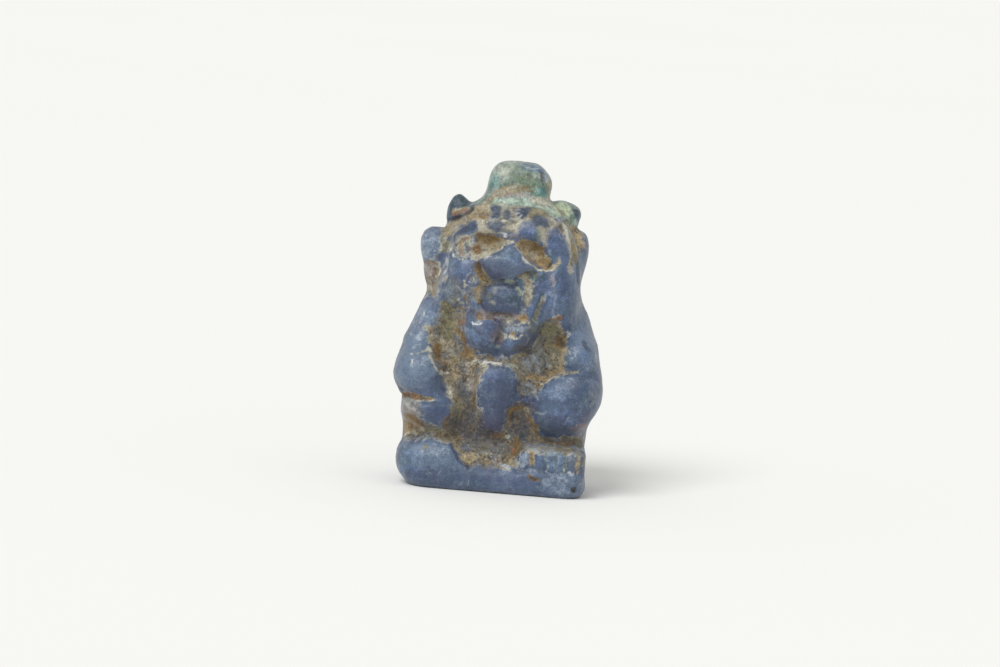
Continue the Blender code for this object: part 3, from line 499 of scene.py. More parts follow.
    ("tan", 0.6, 0.35, [-1.9, 18.1, -2.4, 17.85, -2.75, 17.3, -2.85, 16.7]),
    ("grey", 0.45, 0.25, [-2.6, 18.1, -2.45, 17.4, -2.65, 16.8]),
    ("rust", 0.25, 0.2, [-2.6, 17.9, -2.9, 17.2]), ("olive", 0.5, (-3.3, 18.4, 0.2, 0.25)),
    ("haze", 0.6, 0.12, [-4.6, 17.5, -3.6, 17, -2.7, 16.3]),
    ("haze", 0.4, 0.12, [-1, 17.3, -0.4, 17, 0.1, 17.2]),
    ("haze", 0.35, 0.12, [-0.6, 16.4, 0.2, 16.3, 0.8, 16.6]), ("navy", 0.35, (-0.3, 16.2, 0.8, 0.3)),
    ("steel", 0.35, (-0.2, 17.3, 0.7, 0.3)), ("sage", 0.7, 0.25, [0.6, 17.8, 1, 17.65, 1.1, 17.4]),
    ("white", 0.4, 0.12, [1.25, 17.5, 1.3, 16.9]), ("haze", 0.6, 0.2, [1.25, 16.4, 1.15, 15.9]),
    ("olive", 0.6, 0.5, [0.8, 18.8, 1.4, 19.15, 2.1, 19.2]),
    ("beige", 0.75, 0.55, [1.2, 18.7, 1.6, 18.1, 1.75, 17.3, 1.75, 16.8]),
    ("beige", 0.5, 0.3, [1.7, 16.8, 1.5, 16.1, 1.2, 15.6]), ("rust", 0.5, (1.75, 18.45, 0.25, 0.2)),
    ("moss", 0.5, (2.2, 18.8, 0.3, 0.2)), ("blue", 0.5, (2.1, 16, 0.3, 0.7)),
    ("navy", 0.6, 0.35, [-1.8, 15.85, -1, 15.75, 0, 15.85]),
    ("mauve", 0.85, 0.75, [-2, 15.4, -1, 15.3, 0.3, 15.25, 1, 15.4]),
    ("pink", 0.4, 0.2, [-1.2, 15.45, -0.4, 15.3, 0.4, 15.5]),
    ("soot", 0.6, 0.3, [-1.7, 15.55, -0.6, 15.6, 0.4, 15.4]), ("umber", 0.45, 0.3, [-1.7, 15.1, -0.8, 15]),
    ("violet", 0.6, (-0.5, 14.85, 0.6, 0.3)), ("haze", 0.45, 0.12, [-1.3, 15.2, -0.4, 15.05, 0.3, 15.2]),
    ("soot", 0.5, (-0.3, 14.3, 0.7, 0.35, 10)), ("violet", 0.45, 0.16, [-1.3, 13.8, -0.3, 13.3]),
    ("olive", 0.4, (0.3, 15.1, 0.6, 0.3)), ("umber", 0.85, (-2.35, 15.15, 0.38, 0.4)),
    ("gold", 0.5, (-2.4, 14.9, 0.25, 0.15)), ("gold", 0.85, (1.35, 15.25, 0.5, 0.42)),
    ("umber", 0.6, (1.4, 15.3, 0.28, 0.26)), ("cream", 0.5, 0.18, [0.2, 14.9, 1, 14.7, 1.9, 14.95]),
    ("beige", 0.85, 0.28, [3, 17.2, 2.7, 16.3, 2.45, 15.2]), ("haze", 0.6, 0.14, [3.15, 17.5, 3, 17]),
    ("cream", 0.7, 0.2, [2.9, 17, 2.6, 16, 2.4, 15.2]), ("umber", 0.6, (-3.75, 16.6, 0.2, 0.35)),
    ("blue", 0.6, (-3, 16.1, 0.3, 0.45)), ("umber", 0.5, (-4, 15.3, 0.45, 0.6, 10)),
    ("pink", 0.4, (-3.4, 15.95, 0.25, 0.3)), ("violet", 0.4, (-3.2, 15.4, 0.3, 0.5)),
    ("steel", 0.3, (-5.2, 17, 0.5, 1)),
    # Beard
    ("white", 0.7, 0.16, [-3, 14.6, -2.7, 14.38, -2.3, 14.38, -2, 14.5]),
    ("haze", 0.5, (-3.5, 14, 0.25, 0.25)), ("haze", 0.5, (-2.4, 14.7, 0.5, 0.2)),
    ("rust", 0.85, (-3.85, 14.55, 0.3, 0.28)), ("steel", 0.65, (-2.9, 13.5, 0.6, 0.6)),
    ("blue", 0.4, (-2.4, 13, 1, 0.6)), ("navy", 0.65, (-1.3, 14, 0.5, 0.8)),
    ("violet", 0.4, (-0.6, 14.7, 0.4, 0.4)), ("mauve", 0.5, (-0.7, 13.4, 0.55, 0.8, 10)),
    ("soot", 0.3, (-0.4, 14, 0.3, 0.5, 10)), ("violet", 0.5, 0.4, [-1, 13.4, 0, 12.6]),
    ("blue", 0.5, (0.4, 13, 0.5, 0.4)), ("soot", 0.6, (1.4, 12.7, 0.8, 0.4)),
    ("gold", 0.8, (0.7, 13.85, 0.28, 0.3)), ("umber", 0.5, (0.65, 13.9, 0.12, 0.15)),
    ("cream", 0.6, 0.2, [0.4, 13.6, 0.8, 13.45, 1.2, 13.6, 1.45, 13.85]),
    ("haze", 0.6, 0.4, [0.3, 14.3, 1.2, 14.4, 1.9, 14.4]), ("soot", 0.4, (1.95, 13.6, 0.5, 0.9)),
    ("haze", 0.35, 0.12, [1.7, 14.3, 2, 13.6, 1.9, 13]),
    # Left shoulder, web and arm
    ("haze", 0.4, (-7.2, 15, 0.6, 0.4)), ("white", 0.6, (-7.1, 14.95, 0.12, 0.18)),
    ("steel", 0.4, (-6.1, 14.6, 0.5, 0.6)), ("olive", 0.6, 0.6, [-5.5, 15.9, -5.3, 15, -5, 14.3]),
    ("beige", 0.5, 0.5, [-6.9, 13.9, -6.2, 13.3, -5.5, 12.8]), ("umber", 0.6, (-6.35, 13.55, 0.25, 0.22)),
    ("olive", 0.7, (-5, 13.7, 0.6, 0.8, 10)), ("tan", 0.3, (-4.8, 12.4, 0.8, 0.5, -10)),
    ("umber", 0.8, 0.35, [-4.1, 13.9, -3.7, 13, -3.1, 12.1]), ("grey", 0.4, (-4.3, 12, 0.6, 0.4)),
    ("tan", 0.4, (-4.6, 11.3, 0.8, 0.5)), ("umber", 0.8, (-5.75, 12.1, 0.4, 0.4)),
    ("umber", 0.8, (-5.5, 11.6, 0.38, 0.5, 15)), ("black", 0.7, (-5.45, 11.55, 0.16, 0.2)),
    ("umber", 0.6, (-5, 10.9, 0.35, 0.25)),
    ("cream", 0.6, 0.3, [-6.35, 12.6, -6.25, 11.6, -5.8, 10.7, -5.1, 10]),
    ("umber", 0.7, (-3.1, 11.9, 0.7, 0.35, 10)), ("gold", 0.5, (-2.8, 11.7, 0.5, 0.2, 15)),
    ("gold", 0.5, (-2.1, 11.6, 0.4, 0.15, 10)),
    ("cream", 0.6, 0.35, [-3.1, 10.9, -2.6, 11.15, -1.9, 11.2, -1.4, 11.25]),
    ("white", 0.75, 0.24, [-1.7, 11.28, -1, 11.35, -0.3, 11.32, 0.05, 11.2]),
    ("sage", 0.5, 0.25, [0.3, 11.25, 1.3, 11.1]), ("beige", 0.4, 0.4, [-3.1, 10.8, -2.8, 9.8, -2.75, 8.9]),
    ("pink", 0.5, 0.3, [-2.6, 9.6, -2.5, 8.6]),
    ("umber", 0.5, 0.22, [-1.75, 10.75, -2.05, 9.8, -2.15, 8.9]), ("white", 0.7, (-4.75, 10.2, 0.22, 0.2)),
    ("tan", 0.5, (-4, 9.9, 0.5, 0.5)), ("grey", 0.35, (-3.5, 8.8, 0.6, 0.8)),
    ("soot", 0.5, (-3.4, 8.3, 0.4, 0.5)), ("cream", 0.5, 0.3, [-4.7, 9.3, -4.4, 8.4, -4.1, 7.5]),
    ("umber", 0.6, 0.25, [-2.4, 8.6, -2.2, 8, -2.2, 7.3]),
    ("haze", 0.4, 0.12, [-1.8, 7.6, -1.9, 6.8, -1.6, 6.2]), ("soot", 0.4, (-2.6, 6.6, 0.6, 1.4, 10)),
    ("olive", 0.4, (-3.6, 6.9, 0.4, 0.9, 10)), ("cream", 0.5, 0.2, [-8.1, 11.5, -7, 11.7, -6.3, 12]),
    ("white", 0.6, (-7.8, 10.7, 0.13, 0.25)), ("haze", 0.5, (-7.2, 13, 0.7, 0.3, 30)),
    ("haze", 0.4, (-7.5, 12.2, 0.5, 0.2, 20)), ("haze", 0.5, (-6.6, 11, 0.7, 0.4)),
    ("blue", 0.3, (-7.8, 8.9, 0.4, 0.3)), ("haze", 0.35, (-7.3, 21.2, 1, 1.4)),
    ("haze", 0.35, 0.2, [-8.2, 13.2, -7.6, 12.9]), ("pink", 0.3, (-7.6, 14, 0.4, 0.5)),
    ("haze", 0.35, 0.16, [-7.4, 14.2, -6.9, 13.7, -7.1, 13.2]), ("navy", 0.3, (-6.5, 9.2, 0.5, 0.3)),
    ("blue", 0.4, 0.5, [-5.2, 9.6, -4.9, 8.4]),
    # Right web and arm
    ("olive", 0.6, (3.6, 14.6, 0.75, 0.8, 20)), ("rust", 0.85, (4.45, 15.6, 0.3, 0.25)),
    ("umber", 0.5, 0.3, [4.2, 15.4, 3.7, 15.3]), ("umber", 0.85, (4.7, 13.5, 0.42, 0.62, 5)),
    ("black", 0.7, (4.75, 13.35, 0.25, 0.3)), ("olive", 0.5, (3.9, 13.4, 0.4, 0.5)),
    ("tan", 0.7, 0.6, [5, 12.8, 5, 12, 4.8, 11.3]), ("beige", 0.5, 0.25, [4.3, 12.4, 4.1, 11.4]),
    ("grey", 0.7, [1.9, 12.3, 2.9, 12.9, 3.8, 12.5, 4, 11.6, 3.8, 10.8, 3, 10.5, 2.2, 10.8, 1.7, 11.5]),
    ("soot", 0.5, 0.2, [2.1, 12.3, 2.6, 11.6, 2.8, 10.9]),
    ("soot", 0.5, 0.2, [3.3, 12.5, 3.6, 11.7, 3.4, 11]),
    ("haze", 0.4, 0.1, [2.6, 12.4, 3, 11.6, 3.2, 10.9]), ("haze", 0.4, 0.1, [3.7, 12.1, 3.9, 11.3]),
    ("haze", 0.4, 0.1, [1.9, 11.7, 2.4, 11]), ("soot", 0.5, (1.9, 12.6, 0.8, 0.3)),
    ("gold", 0.6, 0.3, [4.9, 11.1, 4.4, 10.8, 3.9, 10.3, 3.2, 10.25, 2.3, 10.2]),
    ("cream", 0.5, 0.2, [4.6, 10.6, 3.9, 9.95, 3.2, 9.85]),
    ("beige", 0.5, 0.2, [5, 10.9, 5.7, 11, 6.3, 11.2]), ("grey", 0.55, (2.3, 9.3, 0.8, 0.5, -35)),
    ("haze", 0.6, 0.16, [2.2, 9.7, 2.9, 8.9, 3.2, 8.4]), ("haze", 0.5, 0.12, [2, 9.4, 2.6, 8.7]),
    ("navy", 0.7, (2.35, 8.4, 0.6, 0.5, -20)),
    ("haze", 0.5, 0.2, [5.8, 13, 6.2, 12.9, 6.1, 12.5, 5.8, 12.3]),
    ("haze", 0.5, 0.15, [5.3, 10.5, 6, 10, 6.2, 9.8]), ("haze", 0.5, 0.12, [5.8, 10.6, 6.4, 10.2]),
    ("slate", 0.6, 0.34, [6.85, 13.8, 7.05, 13.35, 7.3, 13]), ("soot", 0.35, (7.1, 13.3, 0.22, 0.3, 20)),
    ("blue", 0.4, (6.9, 12.4, 0.6, 0.6)), ("haze", 0.4, (8, 12.4, 0.2, 0.5)),
    # Belly and knees, with painted shade under the belly and along the top of the arch to its right
    ("blue", 0.4, (-1, 10.2, 0.7, 0.5)), ("navy", 0.4, (0.5, 8.2, 1.2, 1)),
    ("violet", 0.6, (-0.6, 5.9, 1.3, 0.9)), ("soot", 0.45, (-0.8, 5.25, 1, 0.4)),
    ("soot", 0.35, 0.4, [-1.7, 6.8, -1.6, 6, -1, 5.3]), ("haze", 0.4, 0.1, [-1.7, 7, -1.3, 7.6]),
    ("soot", 0.55, 0.6, [0.8, 7.1, 1.4, 7.9, 2.4, 7.95, 3.1, 7.3]),
    ("umber", 0.7, 0.45, [1.8, 7.7, 1.3, 7.4, 1, 6.8]), ("violet", 0.4, (2.9, 7.8, 0.6, 0.3, -20)),
    ("beige", 0.5, 0.12, [1.9, 9.1, 2.3, 8.8]), ("beige", 0.5, 0.12, [2.4, 9.7, 2.9, 9.2]),
    ("soot", 0.5, (2.2, 9.2, 0.3, 0.5, -30)), ("gold", 0.6, (1, 7.1, 0.25, 0.3)),
    ("black", 0.5, (1.35, 6.8, 0.3, 0.25)), ("soot", 0.65, (2, 6.1, 1, 1.1)),
    ("umber", 0.85, 0.4, [2.6, 7, 3, 6.4, 3.3, 5.8, 3.4, 5.4]), ("gold", 0.5, 0.16, [2.9, 6.7, 3.3, 6]),
    ("haze", 0.6, (3.6, 7.3, 0.5, 0.15, 5)), ("steel", 0.4, (4.6, 9, 1.5, 0.6)),
    ("haze", 0.4, (4.6, 8.8, 0.2, 0.15)), ("blue", 0.35, (5.9, 7.2, 1.2, 0.8)),
    ("violet", 0.4, (7.6, 6.9, 0.7, 0.8)), ("rust", 0.35, (6.9, 6.2, 0.9, 0.3, 10)),
    ("grey", 0.35, (7.9, 9.3, 0.5, 1.4)), ("navy", 0.4, (4.2, 5.8, 0.6, 0.5)),
    # Left wrist, knee and ankle
    ("rust", 0.85, (-8.4, 7.8, 0.4, 0.35)), ("rust", 0.7, (-7.4, 7.9, 0.5, 0.25)),
    ("gold", 0.6, 0.3, [-7, 7.85, -6, 7.8]),
    ("cream", 0.7, 0.25, [-8.1, 7.5, -6.9, 7.45, -6.2, 7.5, -5.5, 7.75]),
    ("grey", 0.85, (-7.7, 6.9, 1.2, 0.7, -15)), ("beige", 0.6, (-7.9, 7, 0.7, 0.35, -15)),
    ("beige", 0.5, 0.2, [-7.4, 6.5, -6.4, 6.3]),
    ("navy", 0.6, [-6.7, 6.85, -5.7, 7.3, -4.5, 7.2, -4.3, 6.5, -5.3, 5.5, -5.8, 6.2]),
    ("pink", 0.5, (-7.7, 6.6, 0.8, 0.35, -20)), ("haze", 0.4, 0.16, [-8.3, 7.2, -7.5, 6.9, -6.8, 6.3]),
    ("mauve", 0.5, (-7.2, 7, 0.45, 0.2, -20)), ("soot", 0.5, (-8, 6.8, 0.35, 0.18, -20)),
    ("white", 0.45, 0.12, [-8.1, 7.2, -7.7, 7.05]), ("soot", 0.4, 0.14, [-7.6, 6.6, -6.9, 6.3, -6.4, 6]),
    ("umber", 0.7, 0.45, [-8.2, 6.3, -7.3, 5.9, -6.5, 5.5]),
    ("black", 0.4, 0.2, [-7.6, 6.2, -6.2, 5.4, -5.2, 5.3]),
    ("gold", 0.85, [-8.6, 6, -7.6, 6, -6.8, 5.3, -6.4, 4.9, -7.4, 4.6, -8.5, 4.2, -8.9, 5]),
    ("umber", 0.6, (-7.3, 5.9, 0.6, 0.35, -30)), ("rust", 0.4, (-7.2, 5.4, 0.6, 0.3)),
    ("tan", 0.6, 0.16, [-7.9, 5.7, -7.7, 4.6]), ("tan", 0.6, 0.16, [-7.3, 5.3, -7, 4.8]),
    ("umber", 0.35, (-6.7, 5, 0.6, 0.3, 10)), ("beige", 0.7, 0.4, [-8.6, 5.4, -8.5, 4.7, -8.3, 4.2]),
    ("cream", 0.6, 0.3, [-8.4, 4.4, -7.4, 4.7, -6.6, 5]), ("olive", 0.5, (-5.7, 5.1, 0.8, 0.25)),
    ("tan", 0.5, 0.35, [-5.3, 4.7, -4.4, 5, -3.6, 4.6]), ("umber", 0.5, (-4.3, 5.9, 0.4, 0.7, -20)),
    ("petrol", 0.5, (-3.9, 6, 0.25, 0.35)), ("soot", 0.45, (-3.2, 5.7, 0.8, 0.6)),
    # Left foot
    ("haze", 0.1, (-5.3, 4.1, 1.8, 0.6, -4)),
    ("haze", 0.35, 0.25, [-7.7, 4.1, -6.4, 4.5, -5, 4.4, -4.1, 3.9]), ("olive", 0.65, (-6, 3.5, 0.2, 0.34)),
    ("haze", 0.55, (-6.25, 3, 0.3, 0.2)), ("haze", 0.4, (-4.9, 3.3, 0.9, 0.5)),
    ("steel", 0.4, (-7, 2.7, 0.9, 0.5)), ("blue", 0.4, (-7.2, 1.2, 1.2, 0.8)),
    ("navy", 0.8, 0.4, [-3.8, 4.1, -3.4, 3.3, -2.95, 2.6, -2.3, 2.2]),
    # Ground between the feet, with painted shade under the belly
    ("tan", 0.55, (-2.2, 3, 0.5, 0.45)), ("soot", 0.5, (-1.8, 4.9, 1.4, 0.7)),
    ("grey", 0.25, (-0.7, 4.1, 1.6, 0.6)), ("beige", 0.25, (-0.6, 3.3, 0.9, 0.4)),
    ("pink", 0.4, (0.1, 2.9, 0.5, 0.3)), ("umber", 0.5, (0.3, 5, 0.8, 0.35)),
    ("soot", 0.5, (0.3, 4.6, 0.8, 0.25)), ("sage", 0.7, (1, 4.95, 0.22, 0.22)),
    ("umber", 0.7, 0.45, [1.7, 4.8, 1.7, 4, 1.4, 3.4]), ("rust", 0.5, (1.6, 3.8, 0.2, 0.3)),
    ("tan", 0.6, 0.3, [1.5, 3.2, 1.4, 2.7]), ("petrol", 0.5, (2.2, 5.2, 0.3, 0.4)),
    ("white", 0.7, 0.1, [0.7, 2.75, 1.2, 2.35]), ("white", 0.7, 0.1, [1, 2.75, 1.6, 2.25]),
    ("haze", 0.6, 0.3, [0.5, 2.7, 1.4, 2.5]),
    # Right foot
    ("umber", 0.35, 0.3, [3.4, 5.1, 5, 4.9, 6.5, 5, 7.8, 5.2]), ("gold", 0.35, (5.6, 4.45, 0.4, 0.2, 15)),
    ("beige", 0.5, (3.2, 4.6, 0.4, 0.2)), ("black", 0.5, (6.7, 4.5, 0.4, 0.2)),
    ("soot", 0.5, (4.4, 4.95, 0.5, 0.2)), ("beige", 0.6, (4.95, 4.75, 0.15, 0.15)),
    ("moss", 0.4, (7.2, 4.9, 0.5, 0.25)), ("olive", 0.3, 0.4, [3, 4.7, 5, 4.6, 7.5, 4.7]),
    ("grey", 0.5, 0.5, [2.8, 4.3, 4.2, 4.25, 5.6, 4.3, 7.4, 4.25]), ("umber", 0.4, (6.4, 4.5, 0.5, 0.2)),
    ("haze", 0.35, 0.3, [3, 4.1, 4.6, 4.05, 5.8, 4.1]), ("haze", 0.5, (2.4, 3.2, 0.35, 0.7)),
    ("haze", 0.5, 0.14, [2.3, 3.5, 2.35, 2.6]), ("tan", 0.9, (3.15, 3.35, 0.33, 0.65)),
    ("gold", 0.5, (3.1, 3.6, 0.2, 0.3)), ("blue", 0.5, (3.9, 3.05, 0.3, 0.6)),
    ("lime", 0.5, 0.16, [4.3, 3.8, 4.35, 2.5]), ("steel", 0.5, (5.2, 3.3, 1.1, 0.7)),
    ("haze", 0.4, 0.1, [4.5, 3.8, 4.55, 2.8]), ("haze", 0.4, 0.1, [5.5, 3.8, 5.5, 3]),
    ("moss", 0.4, 0.1, [5, 3.9, 5, 3.1]), ("blue", 0.5, (4.8, 2.7, 0.25, 0.3)),
    ("olive", 0.4, 0.16, [5.25, 3.8, 5.3, 2.5]), ("blue", 0.5, (5.65, 2.8, 0.25, 0.4)),
    ("moss", 0.6, (6.1, 2.7, 0.25, 0.45)), ("white", 0.45, 0.1, [6.25, 3.2, 6.1, 2.6]),
    ("grey", 0.5, (6.4, 3.4, 0.5, 0.5)), ("tan", 0.7, 0.35, [7.1, 3.8, 7.15, 2.6]),
    ("olive", 0.5, (7.7, 3.4, 0.3, 0.6)), ("haze", 0.5, 0.25, [2, 2.3, 3.4, 2.35, 5.5, 2.2, 6.6, 2.3]),
    ("white", 0.5, (6.6, 2.4, 0.2, 0.14)), ("haze", 0.4, (5.4, 1.7, 0.9, 0.4)),
    ("steel", 0.4, (7.3, 1.8, 0.7, 0.6)), ("haze", 0.3, (4.6, 1.2, 0.8, 0.4)),
    ("haze", 0.25, (6, 0.9, 0.6, 0.4)), ("umber", 0.95, (3.4, 1.6, 0.55, 0.28, -15)),
    ("black", 0.5, (3.4, 1.55, 0.3, 0.14, -15)), ("black", 0.95, (7.05, 0.85, 0.26, 0.22)),
]

# Raised forms: height, the softness of the edge, and outline; or height and oval
RAISED_OUTLINES = [
    (0.34, 0.22, [-2.8, 19.9, -1.5, 20.55, -0.02, 21.4, 1, 20.4, 2, 19.6, 0.9, 19.1, 0.2, 18.6, -1, 18.65,
     -1.9, 18.85]),
    (0.06, 0.6, [-2, 10.3, -1, 11, 0.9, 11.1, 1.6, 10.6, 1.5, 9.6, 1.4, 8.6, 0.8, 7.6, 0.4, 6.4, -0.2, 5.3,
     -1.2, 5.3, -1.9, 6.6, -2.1, 8.4]),
    (0.14, 0.18, [-7, 6.9, -5.9, 7.35, -4.3, 7.3, -4.1, 6.7, -4.9, 5.5, -5.6, 6.2]),
]

RAISED_OVALS = [
    (0.07, -0.45, 16.8, 1.85, 1.25), (0.12, -4.2, 19.1, 1.4, 1), (0.14, -1.5, 22.95, 0.9, 0.5),
    (0.18, 1.15, 22.75, 1, 0.75), (0.12, 2.35, 22.5, 0.8, 0.8), (0.12, -2.75, 22.5, 0.6, 0.7),
    (0.1, -1.75, 24.05, 0.5, 0.8), (0.1, 0.8, 24.5, 0.9, 0.45, 15), (0.14, 2.1, 24.4, 0.8, 0.6),
    (0.14, 2.35, 3.15, 0.45, 0.85), (0.12, 3.9, 3.2, 0.38, 0.8), (0.12, 4.85, 3.1, 0.4, 0.8),
    (0.12, 5.75, 3, 0.4, 0.8), (0.12, 6.6, 3, 0.38, 0.75), (0.12, -2.6, 13.5, 1.2, 1),
    (0.1, 0.3, 12.9, 0.9, 0.7), (-0.16, 7.05, 0.85, 0.26, 0.22), (-0.1, 3.45, 1.55, 0.42, 0.2),
    (-0.1, -5.5, 11.6, 0.4, 0.5), (-0.1, 4.7, 13.4, 0.4, 0.5), (-0.1, 1.3, 6.9, 0.5, 0.4),
    (-0.1, -2.35, 15.15, 0.35, 0.35), (-0.06, 1.4, 15.25, 0.35, 0.3),
]

# Grooves: depth, width and line
CARVED = [
    (0.09, 0.6, arc(MOUTH, MOUTH_HALF, 120, 215)), (0.07, 0.7, arc(MOUTH, MOUTH_HALF, -150, -20)),
    (0.04, 0.5, arc(MOUTH, MOUTH_HALF, -20, 60)), (0.16, 0.6, [-2.9, 19.7, -2.45, 18.7, -2, 18.3]),
    (0.14, 0.5, [0.5, 18.7, 1.3, 19.2, 2.2, 19.3]), (0.1, 0.5, [3, 17.4, 2.75, 16.4, 2.5, 15.3]),
    (0.1, 0.4, [2.1, 17.4, 2, 16.5, 1.7, 15.6]), (0.05, 0.5, [-3.8, 17.6, -3.8, 16]),
    (0.1, 0.8, [-4.6, 16.2, -4, 14.5, -3.4, 13]), (0.1, 0.5, [-5.3, 21, -4.2, 20.2, -3.3, 20.1]),
    (0.08, 0.4, [-9, 7.85, -7.2, 7.85, -5.9, 7.8]), (0.06, 0.35, [-8, 11.5, -6.2, 11.8]),
    (0.1, 0.6, [-6, 22.6, -5.9, 21.4, -5.9, 20.4, -6.1, 19.4]),
    (0.12, 0.6, [4.4, 24, 5, 23.4, 5.4, 22.6, 5.4, 21.4, 5.3, 20]),
    (0.22, 0.4, [-5.6, 23.15, -4.6, 23.65, -3.85, 24.4]), (0.12, 0.4, [-4.9, 21.1, -3.9, 21.7, -2.9, 22.1]),
    (0.1, 0.4, [2, 2.2, 7.8, 2.25]), (0.14, 0.4, [-3.6, 4.1, -3, 2.9, -2.2, 2.2]),
    (0.16, 0.4, [3.15, 3.7, 3.2, 2.6]), (0.12, 0.4, [-0.3, 14.6, -0.6, 12.8]),
    (0.1, 0.4, [1.5, 8.3, 2.3, 8.5, 3.2, 8.2]),
]


def fine_mesh(node):
    """A copy of the solid's skin, closely and evenly meshed."""
    source = bpy.data.objects.new("skin", node.data.copy())
    bpy.context.scene.collection.objects.link(source)
    remesh = source.modifiers.new("even", "REMESH")
    remesh.mode = "VOXEL"
    remesh.voxel_size = FINENESS
    graph = bpy.context.evaluated_depsgraph_get()
    data = bpy.data.meshes.new_from_object(source.evaluated_get(graph))
    bpy.data.objects.remove(source)
    return data


def write_points(data, points):
    data.vertices.foreach_set("co", points.astype(np.float32).ravel())
    data.update()


def write_mask(data, name, values):
    attribute = data.attributes.new(name, "FLOAT", "POINT")
    attribute.data.foreach_set("value", values.astype(np.float32))


def write_paint(data, name, colours, cover):
    attribute = data.attributes.new(name, "FLOAT_COLOR", "POINT")
    values = np.concatenate([colours, cover[:, None]], axis=1)
    attribute.data.foreach_set("color", values.astype(np.float32).ravel())


def line_share(seen, width, line):
    return ramp(-from_line(seen, line) / (width / 2), *LINE_EDGE)


def strongest(seen, lines):
    return np.max([strength * line_share(seen, width, line) for strength, width, line in lines], axis=0)


def innermost(seen, outlines):
    return np.max([inside(seen, outline) for outline in outlines], axis=0)


def patches(seen, ovals):
    return sum(strength * ramp(in_oval(seen, *oval), *PATCH_EDGE) for strength, *oval in ovals)


def stroke_share(seen, shape):
    """How much of a stroke lies on each point; its shape is a width and a line, an oval or an outline."""
    if len(shape) == 2:
        return line_share(seen, *shape)
    if isinstance(shape[0], tuple):
        return ramp(in_oval(seen, *shape[0]), *OVAL_EDGE)
    return ramp(inside(seen, shape[0]), *OUTLINE_EDGE)


def painted(seen):
    """The strokes' colour and cover on each seen point, laid one over another."""
    colours = np.zeros((len(seen), 3))
    cover = np.zeros(len(seen))
    for name, strength, *shape in STROKES:
        share = strength * stroke_share(seen, shape)
        colours += share[:, None] * (np.array(linear(PAINTS[name])[:3]) - colours)
        cover += share * (1 - cover)
    return colours / np.maximum(cover, 1e-6)[:, None], cover


def front_dirt(points, drawn, field, rough, hollow):
    """The dirt that the photograph shows, from about -1 on clean glass to 1 under a thick crust."""
    dirt = np.maximum(np.clip(field / 0.6, -1, 1), 2 * strongest(drawn, DIRT_LINES) - 1)
    dirt = np.minimum(dirt, 1 - 2 * strongest(drawn, GLASS_LINES)) * 0.8
    dirt += 0.3 * rough + 0.15 * np.clip(hollow, -1, 1)
    return dirt + 0.25 * clouds(points, *SPOTTED) + patches(drawn, SOILED)


def dirt_anywhere(points, rough, hollow):
    """Dirt in the hollows and in worn patches, on the same scale."""
    return 0.42 * np.clip(hollow, -1.5, 1.6) - 0.32 + 0.75 * rough + 0.5 * clouds(points, *WORN)


def carving(seen, eye):
    """How far the front's forms stand out, in millimetres."""
    rise = -EYE_DEPTH * ramp(eye, -0.3, 0.5)
    for height, edge, outline in RAISED_OUTLINES:
        rise += height * ramp(inside(seen, outline), -edge, edge)
    for height, *oval in RAISED_OVALS:
        rise += height * ramp(in_oval(seen, *oval), *RAISED_EDGE)
    for depth, width, line in CARVED:
        rise -= depth * ramp(-from_line(seen, line) / (width / 2), *CARVED_EDGE)
    return rise


def wear(points, dirt):
    """How deep the dirt's bed, its pits and the worn glass lie, in millimetres."""
    depth = INSET + DIRT_DEPTH * ramp(dirt, -0.15, 0.25)
    depth += PIT_DEPTH * np.maximum(0, clouds(points, *PITS)) * ramp(dirt, -0.2, 0.3)
    depth += WAVE_DEPTH * np.abs(clouds(points, *WAVES))
    return depth + DIMPLE_DEPTH * np.maximum(0, clouds(points, *DIMPLES) - 0.2)


def shape_figurine():
    data = fine_mesh(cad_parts["figurine"])
    joined = links(data)
    points = read(data, "vertices", "co", 3)
    for rounds, share in EVENINGS:
        points = spread(points, joined, rounds, share)
    write_points(data, points)
    normals = read(data, "vertex_normals", "vector", 3)
    seen = front_view(points)
    facing = ramp(-normals[:, 1], 0.0, FACING)
    hollow = sum(sunk(points, joined, normals, *how) for how in HOLLOWS)
    rough = clouds(points, *ROUGH)
    ragged = np.stack([clouds(points, *noise) for noise in RAGGED], axis=1)

    drawn = seen + RAGGED_PAINT * ragged
    eye = innermost(drawn, EYES)
    field = np.maximum(innermost(drawn, FIELDS), eye - 0.2)
    dirt = dirt_anywhere(points, rough, hollow)
    dirt += (front_dirt(points, drawn, field, rough, hollow) - dirt) * facing
    colours, cover = painted(drawn)
    write_paint(data, "paint", colours, cover * facing)
    # The tone mask: painted light and shade from the table, with a drifting random tone
    write_mask(data, "tone", patches(drawn, LIGHT_AND_SHADE) * facing + 0.35 * clouds(points, *DRIFT))
    write_mask(data, "dirt", dirt)
    write_mask(data, "deep", np.clip(field, -2, 3))
    write_mask(data, "patina", ramp(points[:, 2] / MM + rough, *PATINA_LEVELS))

    relief = carving(seen + RAGGED_CARVING * ragged, eye) * facing - wear(points, dirt)
    points = points + normals * (relief * MM)[:, None]
    write_points(data, points)
    normals = read(data, "vertex_normals", "vector", 3)
    write_mask(data, "crease", sunk(points, joined, normals, *CREASE))
    write_points(data, np.clip(points, *np.array(CAD_BOX)))
    return data


